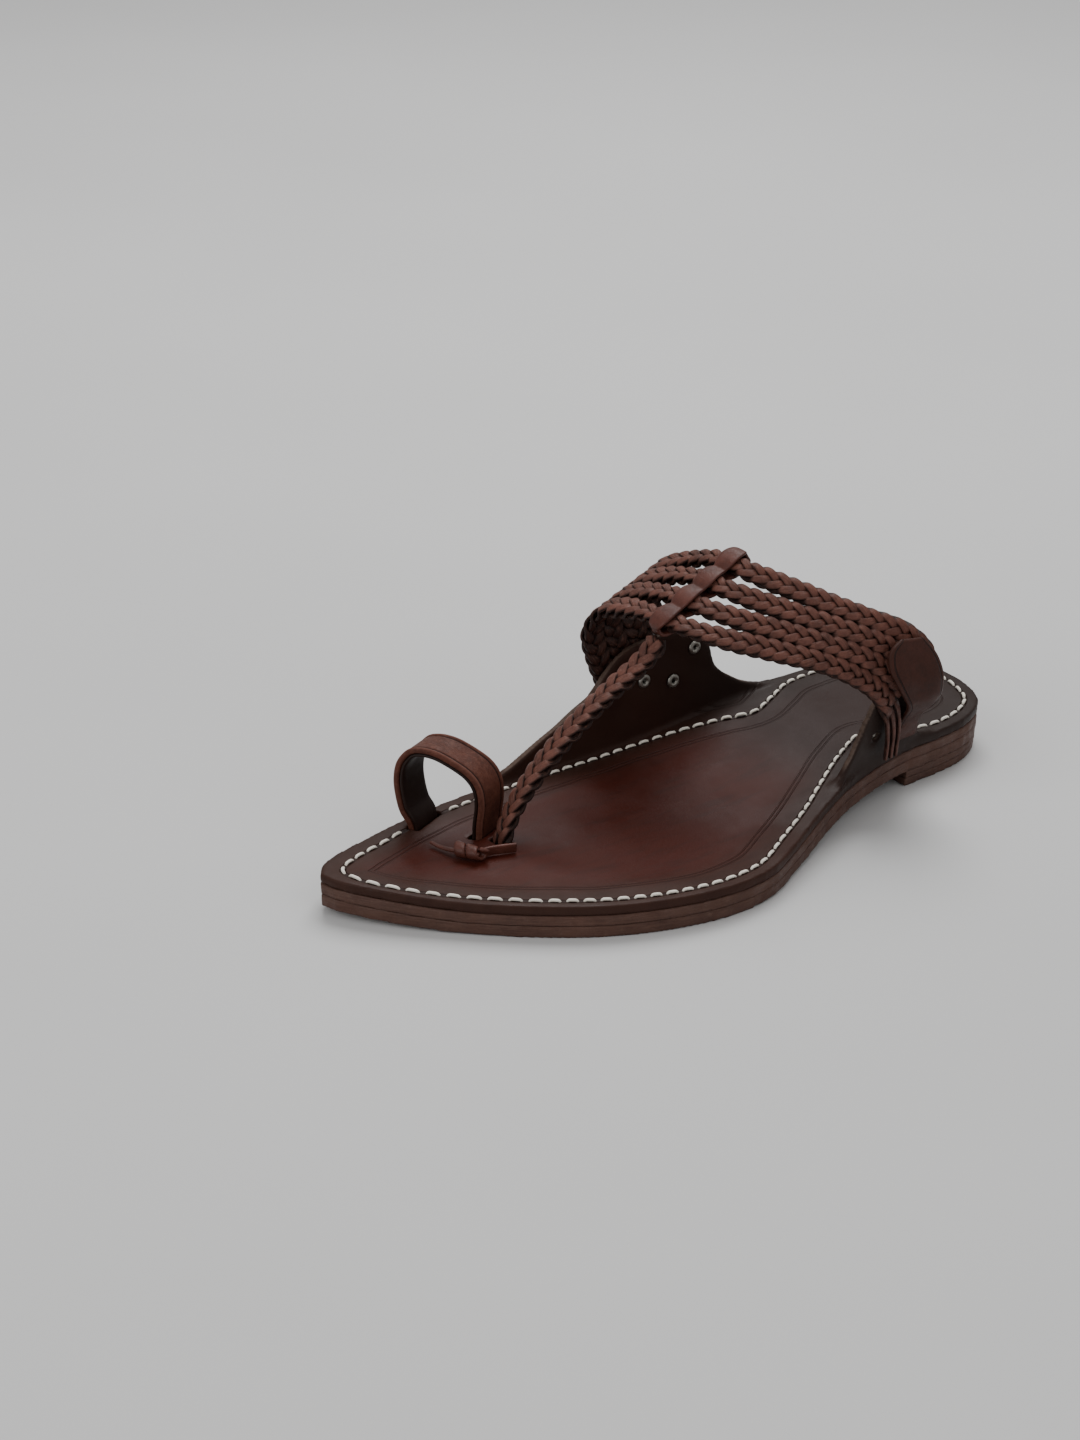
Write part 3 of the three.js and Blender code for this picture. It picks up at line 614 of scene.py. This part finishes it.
def make_footbed():
    """A footbed hollowed by wear, with slightly wavy ears."""
    obj = refined("footbed", "footbed_skin", FOOTBED_VOXEL, 5)
    points, normals = read_mesh(obj.data)
    rim = distance_to(points[:, :2], edge_line)
    seam = distance_to(points[:, :2], seam_line)
    lift = points[:, 2] - footbed_top(points[:, 1])
    top = smooth((normals[:, 2] - 0.3) / 0.4) * smooth((lift + 1.2) / 0.8)
    top = top * smooth((3.0 - lift) / 1.5)
    cut = smooth((0.75 - abs(normals[:, 0])) / 0.3) * smooth((lift - 3.0) / 3.0)
    for name, values in (("rim", rim), ("seam", seam), ("top", top), ("cut", cut)):
        set_attribute(obj.data, name, values)
    hollow = -WEAR_DEPTH * smooth((rim - 8) / 14) * top
    hollow = hollow + WEAR_WAVES * ripple(points, 26, 3) * smooth((rim - 6) / 8) * top
    wall = smooth((lift - 6) / 10)
    points = points + normals * (EAR_WAVES * ripple(points, 19, 5) * wall)[:, None]
    points[:, 2] += hollow - SWELL * (normals[:, 2] < -0.5)
    write_points(obj.data, points)
    finish_piece(obj, "footbed", "footbed")


def make_layer(node, seed, worn=False):
    """A layer of the sole or heel with an uneven cut edge; a worn one is frayed where it treads."""
    obj = refined(node, f"{node}_skin", LAYER_VOXEL, 1)
    points, normals = read_mesh(obj.data)
    side = smooth((0.8 - abs(normals[:, 2])) / 0.4)
    grain = CUT_WAVES * ripple(points, 11, seed) + CUT_GRAIN * ripple(points, 3.1, seed + 1)
    facing_down = (normals[:, 2] < -0.5) & (points[:, 2] > 1.5)  # but not treading on the ground
    face = SWELL * ((normals[:, 2] > 0.5) | facing_down)
    points = points + normals * (face + side * grain)[:, None]
    if worn:
        low = points[:, 2] < 1.2
        points[low, 2] += FRAY * abs(ripple(points[low], 2.3, seed + 2)) * side[low]
    write_points(obj.data, points)
    finish_piece(obj, "edge", node)


# ---- Stitches ----
def stitch(line, low, mid, high, section):
    """Rings of one stitch between two holes, dipping into both; it draws twice from noise."""
    half = STITCH_HALF * (high - low) + noise.uniform(-0.15, 0.15)
    s = np.linspace(-1, 1, 13)
    flat = along(line, mid + s * half)
    dip = STITCH_SINK * abs(s) ** 5
    z = footbed_top(flat[:, 1]) + STITCH_RISE - dip + noise.uniform(-0.05, 0.05)
    path = np.column_stack([flat, z])
    path = path + np.cross(tangents(path), UP) * (STITCH_SLANT * s)[:, None]
    width = STITCH_WIDTH * (1 - 0.45 * abs(s) ** 4)
    return sweep(path, np.tile(UP, (len(s), 1)), width, width * 0.85, section)


def make_stitches():
    """Separate stitches in the channel round the footbed, longer round the toe."""
    line = catmull(STITCH_LINE)[:, :2]
    run = arc(line)
    spacing = SIDE_STITCH + (TOE_STITCH - SIDE_STITCH) * smooth((-70 - line[:, 1]) / 25)
    stitches = np.concatenate([[0], np.cumsum(np.diff(run) / spacing[1:])])
    count = int(stitches[-1])
    section = superellipse(10, 0.9)
    built = Build()
    for i in range(count):
        places = np.array([i, i + 0.5, i + 1]) * stitches[-1] / count
        built.tube(stitch(line, *np.interp(places, stitches, run), section))
    finish_piece(built.object("edge_stitches"), "thread", "edge_stitching")


# ---- Braids ----
class Plait:
    """Stations along a flat plait; its strands go over on the way out and under on the way in.

    For the first loose millimetres the strands lie side by side, not yet plaited.
    """

    def __init__(self, centre, out, width, thick, pitch, phase, loose):
        stations = arc(centre)
        self.s = np.linspace(0, stations[-1], max(int(stations[-1] / STRAND_STEP), 12))
        self.centre = resample(centre, stations, self.s)
        t = tangents(self.centre)
        self.out = unit(square_to(resample(out, stations, self.s), t))
        self.across = np.cross(t, self.out)
        self.width = np.interp(self.s, stations, width)
        self.thick, self.pitch, self.phase, self.loose = thick, pitch, phase, loose
        self.flat = smooth((loose - self.s) / 7) if loose else 0 * self.s
        starts = 2 * np.pi * np.arange(STRANDS) / STRANDS + phase
        self.order = np.argsort(np.argsort(np.sin(starts)))

    def place(self, i):
        """How far out (-1 to 1) and how far up (-1 to 1) strand i is at each station."""
        turns = np.maximum(self.s - self.loose, 0) / self.pitch + i / STRANDS
        theta = 2 * np.pi * turns + self.phase
        lane = (2 * self.order[i] / (STRANDS - 1) - 1) * self.flat
        side = np.sin(theta) * (1 - self.flat) + lane
        level = np.tanh(SQUARENESS * np.sin(2 * theta)) / math.tanh(SQUARENESS)
        return side, level * (1 - self.flat) + 0.5 * (-1) ** self.order[i] * self.flat

    def strand(self, i, section):
        """Rings of strand i, leaning with its side of the plait."""
        side, over = self.place(i)
        own = (STRAND_SHARE - LOOSE_LOSS * self.flat) * self.width
        ply = self.thick * PLY_SHARE
        path = self.centre + self.across * ((self.width - own * 0.85) / 2 * side)[:, None]
        path += self.out * ((self.thick - ply) / 2 * over)[:, None]
        wobble = ripple(path, 9, 60 + i)
        path += self.across * (0.12 * wobble)[:, None]
        tilt = (1 - self.flat) * 0.45 * side**3 + 0.1 * wobble
        wide = own * (1 - 0.15 * abs(side) ** 5) * (1 + 0.05 * wobble)
        return sweep(path, self.out + self.across * tilt[:, None], wide, ply, section)

    def lift(self, rings, section):
        """How lit each point is painted, from 0 in painted shade where a strand dives under to 1 on
        the face.
        """
        up = ((rings - self.centre[:, None]) * self.out[:, None]).sum(-1) / (self.thick / 2)
        edge = abs(section[:, 0])[None, :] ** 6
        # Painted shade: the plait's inner face at 0.45, the strand's side edges darker; the loose
        # end stays fairly lit.
        painted_light = np.where(up > 0, up, -0.45 * up).clip(0, 1) * (1 - 0.7 * edge)
        return np.maximum(painted_light, 0.65 * (1 - edge) * self.flat[:, None]).ravel()


def make_braid(name, node, plait):
    section = superellipse(STRAND_CORNERS, 0.6)
    built, painted_shading = Build(), []
    for i in range(STRANDS):
        rings = plait.strand(i, section)
        built.tube(rings)
        painted_shading.append(plait.lift(rings, section))
    obj = built.object(name)
    # The lift attribute holds painted light and shade for the braid colour.
    set_attribute(obj.data, "lift", np.concatenate(painted_shading))
    finish_piece(obj, "braid", node)


def route(share):
    """The middle line of an instep braid, from the front one's at 0 to the back one's at 1."""
    front, back = np.array(FRONT_BRAID), np.array(BACK_BRAID)
    return catmull((front * (1 - share) + back * share).tolist())


def braid_frame(share, start, end, count=160):
    """Centre line, outward direction and width of one instep braid."""
    line, front, back = (even(route(place), count, start, end) for place in (share, 0.0, 1.0))
    across = back - front
    room = np.linalg.norm(square_to(across, tangents(front)), axis=1) / 3
    off = front[:, 0] - WRAP_X
    pinch = BRAID_PINCH * smooth(1.4 - 1.4 * abs(off) / np.where(off > 0, *PINCH_REACH))
    out = unit(np.cross(across, tangents(line)))
    return line, out, np.minimum(BRAID_WIDTH, room + BRAID_PRESS) - pinch


def make_instep():
    for k, (name, (share, start, end)) in enumerate(BRAIDS.items()):
        line, out, width = braid_frame(share, start, end)
        loose = FRONT_LOOSE if name == "front" else 0.0
        plait = Plait(line, out, width + BRAID_SPREAD, BRAID_THICK, BRAID_PITCH, BRAID_PHASE * k,
                      loose)
        make_braid(f"instep_plait_{name}", f"instep_braid_{name}", plait)


def make_t_strap():
    line = even(catmull(T_STRAP), 140)
    t = tangents(line)
    out = -np.cross(np.cross((0, -1.0, 0.2), t), t)
    share = smooth(np.linspace(0, 1, len(line)) * 2.2)
    plait = Plait(line, out, T_STRAP_FOOT + T_STRAP_WIDENING * share, T_STRAP_THICK,
                  T_STRAP_PITCH, T_STRAP_PHASE, T_STRAP_LOOSE)
    make_braid("t_strap_plait", "t_strap_braid", plait)


# ---- Wrap over the instep braids ----
def wrap_outline(span, corners=220):
    """The strip's closed outline, (along, out): it swells over each braid and dips in between."""
    places = (np.arange(4) / 3 - 0.5) * span
    x = (span / 2 + WRAP_OVERHANG) * np.sin(np.linspace(-1, 1, 120) * np.pi / 2)

    def height(x, over, between):
        steps = [np.sqrt(np.clip(1 - ((x - q) / WRAP_DOME) ** 2, 0, 1)) for q in places]
        return between + (over - between) * np.max(steps, axis=0)

    top = np.column_stack([x, height(x, *WRAP_TOP)])
    low = np.column_stack([x[::-1], -height(x[::-1], *WRAP_LOW)])
    flat = np.concatenate([top[1:-1], low[1:-1]])
    for _ in range(3):
        flat = (np.roll(flat, 1, 0) + 2 * flat + np.roll(flat, -1, 0)) / 4
    flat = np.vstack([flat, flat[:1]])
    return even(flat, corners + 1)[:-1]


def make_wrap():
    """A strip wound round the four braids."""
    front, back = (np.array(line[WRAP_STATION], float) for line in (FRONT_BRAID, BACK_BRAID))
    middle = (front + back) / 2
    span = np.linalg.norm(back[1:] - front[1:])
    v = np.array([0, *(back - front)[1:]]) / span
    n = np.array([0, -v[2], v[1]])
    flat = wrap_outline(span)
    path = middle + flat[:, :1] * v + flat[:, 1:] * n
    path[:, 0] = WRAP_X
    out = np.cross(unit(np.roll(path, -1, 0) - np.roll(path, 1, 0)), (1.0, 0, 0))
    out *= np.sign((out * (path - middle)).sum(1).mean())
    wide = WRAP_NARROW + WRAP_WIDEN * np.clip((np.abs(flat[:, 1]) - 0.9) / 2.2, 0, 1)
    wave = 0.25 * ripple(path, 8, 91)
    section = superellipse(18, 0.45)
    across = section[None, :, :1] * wide[:, None, None] / 2 + wave[:, None, None]
    rings = (path[:, None] + np.array([1.0, 0, 0]) * across
             + out[:, None] * section[None, :, 1:] * WRAP_HALF_THICK)
    built = Build()
    built.tube(rings, closed=True)
    finish_piece(built.object("instep_wrap_strip"), "strap", "instep_wrap")


# ---- Patches on the ears ----
def make_patch(name, node, edges, middle, outward, bulge):
    """Smooth leather over the ends of the braids, thin at its rim and fuller in the middle."""
    front, back = (even(catmull([(0.0, *q) for q in edge]), PATCH_ROWS)[:, 1:] for edge in edges)
    section = superellipse(40, 0.3)
    share = (section[:, 0] + 1) / 2
    v = np.linspace(0, 1, PATCH_ROWS)
    rim = np.sqrt(np.clip(1 - ((abs(2 * v - 1) - 0.94) / 0.06).clip(0, 1) ** 2, 0.02, 1))
    rings = []
    for k in range(PATCH_ROWS):
        yz = front[k] * (1 - share[:, None]) + back[k] * share[:, None]
        dome = bulge * (1 - section[:, 0] ** 4) * (1 - abs(2 * v[k] - 1) ** 5)
        rise = dome + section[:, 1] * PATCH_THICK / 2 * rim[k]
        rings.append(np.column_stack([middle(yz[:, 0], yz[:, 1]) + outward * rise, yz]))
    built = Build()
    built.tube(np.array(rings), uv=np.stack(np.broadcast_arrays(share[None, :], v[:, None]), -1))
    finish_piece(built.object(name), "patch", node)


def make_patches():
    def lateral(y, z):
        lift = LATERAL_STANDOFF + PATCH_LIFT * smooth((z - 31) / 17)
        lift = lift + LATERAL_FLARE * smooth((y - 76) / 12)
        lean = LATERAL_LEAN * smooth((z - 52) / 17)
        return lateral_x(y, np.minimum(z, EAR_TOP_Z)) + lift - lean

    def medial(y, z):
        return medial_x(y, z) - MEDIAL_STANDOFF - PATCH_LIFT * smooth((z - 19) / 16)

    make_patch("lateral_patch_skin", "lateral_patch", LATERAL_PATCH, lateral, 1, LATERAL_BULGE)
    make_patch("medial_patch_skin", "medial_patch", MEDIAL_PATCH, medial, -1, MEDIAL_BULGE)


# ---- Rivets and nails ----
def lathe(profile, place, axis, corners, closed=False):
    """Turns (radius, height) pairs round an axis through place."""
    axis = unit(np.asarray(axis, float))
    side = unit(np.cross(axis, (0.3, 0.2, 0.93)))
    other = np.cross(axis, side)
    a = np.linspace(0, 2 * np.pi, corners, endpoint=False)
    ring = np.cos(a)[:, None] * side + np.sin(a)[:, None] * other
    built = Build()
    rings = np.array([np.asarray(place) + r * ring + h * axis for r, h in profile])
    built.tube(rings, closed=closed)
    return built


def make_rivets():
    """Hollow ring rivets, each square to its ear."""
    face = WALL_THICK / 2 + 0.1
    rim = [(RIVET_RING + RIVET_ROUND * math.cos(q), face + RIVET_DOME * math.sin(q))
           for q in np.linspace(0, np.pi, 9)]
    profile = [(RIVET_SHANK, -0.2), (RIVET_SHANK, face), *rim, (RIVET_BORE, face - 0.5),
               (RIVET_BORE, -0.2)]
    for side, sites, middle, inward in (
            ("lateral", LATERAL_RIVETS, lateral_x, -1), ("medial", MEDIAL_RIVETS, medial_x, 1)):
        for i, (y, z) in enumerate(sites, 1):
            slope_y = middle(y + 0.5, z) - middle(y - 0.5, z)
            slope_z = middle(y, z + 0.5) - middle(y, z - 0.5)
            axis = np.array([1, -slope_y, -slope_z]) * inward
            built = lathe(profile, (middle(y, z), y, z), axis, 32, closed=True)
            obj = built.object(f"{side}_ring_rivet_{i}")
            finish_piece(obj, "rivet", f"{side}_rivet_{i}")


def make_nails():
    profile = [(0.01, 5.9), (0.85, 5.9), (0.95, 5.6), (1.0, 2.0), (1.3, 1.2), (1.42, 0.8),
               (1.38, 0.5), (1.1, 0.38), (0.5, 0.3), (0.01, 0.3)]
    for i in range(1, NAILS + 1):
        low, high = (np.array(q) * 1000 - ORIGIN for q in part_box(f"heel_nail_{i}"))
        built = lathe(profile, (*((low + high) / 2)[:2], 0), UP, 28)
        finish_piece(built.object(f"heel_nail_head_{i}"), "nail", f"heel_nail_{i}")


# ---- Toe loop ----
def loop_profile():
    """The loop's outer face seen along the band, (across, up) from its middle."""
    half, top = LOOP_SPAN / 2, LOOP_HEIGHT
    return [
        (-half + LOOP_TUCK[0], -LOOP_DEPTH), (-half + 4.4, 1.5), (-half + 2.1, 5.5),
        (-half + 0.6, 11.5), (-half, 18.2), (-half + 1, top - 7.2), (-half + 3.2, top - 3.4),
        (-half + 6, top - 0.9), (-half + 10.2, top), (-half + 14, top - 0.3),
        (half - 15.1, top - 1.3), (half - 7.9, top - 4.9), (half - 4.3, top - 7.5),
        (half - 1.8, top - 10.7), (half - 0.4, top - 14.4), (half, 11.2), (half - 0.7, 5),
        (half - LOOP_TUCK[1], -LOOP_DEPTH)]


def loop_rings(depth, section):
    """Rings of one layer of the loop; section holds (across the band, outwards)."""
    face = even(catmull([(x, 0.0, z) for x, z in loop_profile()]), 110)
    t = tangents(face)
    out = np.column_stack([-t[:, 2], np.zeros(len(t)), t[:, 0]])
    path = face - out * depth
    rings = path[:, None] + out[:, None] * section[None, :, 1:]
    run = arc(path)
    foot = smooth((5 - np.minimum(run, run[-1] - run)) / 3)
    rings[..., 1] += section[None, :, 0] * (1 - FOOT_TAPER * foot[:, None])
    rings[..., 0] += LOOP_SKEW * rings[..., 1]
    c, k = math.cos(LOOP_TURN), math.sin(LOOP_TURN)
    x = rings[..., 0] * c - rings[..., 1] * k + LOOP_CENTRE[0]
    y = rings[..., 0] * k + rings[..., 1] * c + LOOP_CENTRE[1]
    return np.stack([x, y, rings[..., 2] + footbed_top(LOOP_CENTRE[1])], -1)


def make_toe_loop():
    """A band with rolled edges and a groove behind each, and its lining."""
    half = LOOP_BAND / 2
    w = half * np.sin(np.linspace(-1, 1, 56) * np.pi / 2)
    roll = (abs(w) - half + EDGE_ROLL) / EDGE_ROLL
    end = np.sqrt(np.clip(1 - roll.clip(0, 1) ** 2, 0, 1))
    bead = EDGE_BEAD * np.exp(-(((abs(w) - half + 0.8) / 0.5) ** 2))
    groove = EDGE_GROOVE * np.exp(-(((abs(w) - half + 1.85) / 0.34) ** 2))
    edge = 0.25 + 0.75 * end
    outer = (LOOP_SHELL / 2 + LOOP_CROWN * (1 - (w / half) ** 2) + bead - groove) * edge
    inner = -LOOP_SHELL / 2 * edge
    section = np.vstack([np.column_stack([w, outer]), np.column_stack([w, inner])[::-1]])
    rings = loop_rings(LOOP_SHELL / 2, section)
    built = Build()
    built.tube(rings)
    obj = built.object("toe_loop_leather")
    lift = np.concatenate([2 * groove - 2.4 * bead, 0 * groove])
    set_attribute(obj.data, "lift", np.tile(lift, len(rings)))
    finish_piece(obj, "loop", "toe_loop_band", body="toe_loop")
    lining = superellipse(28, 0.4) * (half - 0.35, LOOP_LINING / 2 + 0.1)
    built = Build()
    built.tube(loop_rings(LOOP_SHELL + GAP + LOOP_LINING / 2 - 0.1, lining))
    obj = built.object("toe_loop_inside")
    finish_piece(obj, "lining", "toe_loop_lining", body="toe_loop")


# ---- Thong knot ----
def knot_turns(base):
    """Two turns of thong, as a coil along axis that is widest near its middle."""
    axis, side = np.array([0.885, 0.466, 0.0]), np.array([-0.466, 0.885, 0.0])
    tau = np.linspace(0, KNOT_TURNS, 120)
    angle = 2 * np.pi * tau - 0.9
    grow = 1.08 - 0.16 * abs(tau - 0.7) + 0.05 * np.sin(9 * tau)
    spine = np.array([-18.0, -88.9, base + 2.6]) + axis * (0.4 + KNOT_ADVANCE * tau)[:, None]
    path = (spine + side * (KNOT_RADIUS * grow * np.cos(angle))[:, None]
            + np.array(UP) * (KNOT_HEIGHT * grow * np.sin(angle))[:, None])
    width = THONG_WIDTH - 0.9 * abs(2 * tau / KNOT_TURNS - 1) ** 2
    return sweep(path, path - spine, width, THONG_THICK, superellipse(16, 0.7))


def knot_tail(base):
    """The thong's thin free tail, tapering towards the toe."""
    path = even(catmull([
        (-9, -84.9, base + 2.2), (-13, -86.9, base + 2.3), (-17, -88.6, base + 1.9),
        (-21, -89.9, base + 1.2), (-25, -90.8, base + 0.85), (-28.6, -91.6, base + 1.1)]), 60)
    share = np.linspace(0, 1, len(path))
    out = np.tile(UP, (len(path), 1))
    return sweep(path, out, 2.9 - 1.5 * share**1.5, 1.2 - 0.4 * share, superellipse(14, 0.6))


def make_knot():
    """Thong knotted round its own end, which lies on the footbed on its edge."""
    base = footbed_top(KNOT_Y)
    built = Build()
    built.tube(knot_turns(base))
    built.tube(knot_tail(base))
    finish_piece(built.object("thong_knot_turns"), "strap", "thong_knot")
    path = even(catmull([
        (-12.4, -84.6, base + 1.9), (-11, -82, base + 1.8), (-10.2, -79, base + 1.9),
        (-8.8, -74.6, base + 1.85), (-7.3, -70.3, base + 1.75)]), 60)
    tall = 2.3 + 1.2 * smooth(np.linspace(0, 1, len(path)) * 3)
    lean = np.tile((0.1, -0.05, 1.0), (len(path), 1))
    built = Build()
    built.tube(sweep(path, lean, 1.25, tall, superellipse(18, 0.4)))
    finish_piece(built.object("thong_end"), "strap", "thong_strip")


make_footbed()
make_layer("midsole", 21)
make_layer("outsole", 31, worn=True)
make_layer("heel_lift", 41)
make_layer("heel_top_piece", 51, worn=True)
make_stitches()
make_instep()
make_t_strap()
make_wrap()
make_patches()
make_rivets()
make_nails()
make_toe_loop()
make_knot()


# ---- Studio, in metres and watts ----
CAMERA = np.array([741.9, -593.2, 508.4])  # in the drawing's millimetres
CAMERA_AZIMUTH, CAMERA_PITCH = 54.57, 26
LENS, SENSOR = 75, 36
FLOOR_SIZE, FLOOR_Z = 6.0, -0.0002
SKY, SKY_STRENGTH = (0.96, 0.95, 0.94, 1), 0.42
LAMPS = [  # name, place, size, power, aimed at
    ("key", (-0.62, 0.55, 1.45), 1.1, 25, (-0.1, -0.1, 0.02)),
    ("fill", (1.3, 0.3, 1.1), 1.4, 5, (0, 0, 0.03)),
    ("front", (0.1, -1.5, 0.9), 1.2, 11, (-0.1, -0.2, 0.03))]


def studio():
    bpy.ops.mesh.primitive_plane_add(size=FLOOR_SIZE, location=(0, 0, FLOOR_Z))
    floor = bpy.context.object
    floor.name = "studio_floor"
    n = Nodes("floor_paint")
    greys = [(0.3, (0.56, 0.56, 0.56)), (0.7, (0.59, 0.59, 0.59))]
    floor.data.materials.append(n.finish(n.ramp(n.noise(3.0, 2.0), greys), 0.85, None))
    world = bpy.data.worlds.new("studio")
    bpy.context.scene.world = world
    world.use_nodes = True
    sky = world.node_tree.nodes["Background"].inputs
    sky["Color"].default_value = SKY
    sky["Strength"].default_value = SKY_STRENGTH
    for name, place, size, power, aim in LAMPS:
        lamp = bpy.data.lights.new(name, "AREA")
        lamp.size = size
        lamp.energy = power
        obj = bpy.data.objects.new(name, lamp)
        obj.location = place
        obj.rotation_euler = (Vector(aim) - Vector(place)).to_track_quat("-Z", "Y").to_euler()
        bpy.context.scene.collection.objects.link(obj)


def camera():
    lens = bpy.data.cameras.new("photo_camera")
    lens.sensor_width = SENSOR
    lens.lens = LENS
    lens.clip_start, lens.clip_end = 0.05, 30
    obj = bpy.data.objects.new("photo_camera", lens)
    obj.location = ((CAMERA + ORIGIN) * MM).tolist()
    obj.rotation_euler = (math.radians(90 - CAMERA_PITCH), 0, math.radians(CAMERA_AZIMUTH))
    bpy.context.scene.collection.objects.link(obj)
    bpy.context.scene.camera = obj


studio()
camera()
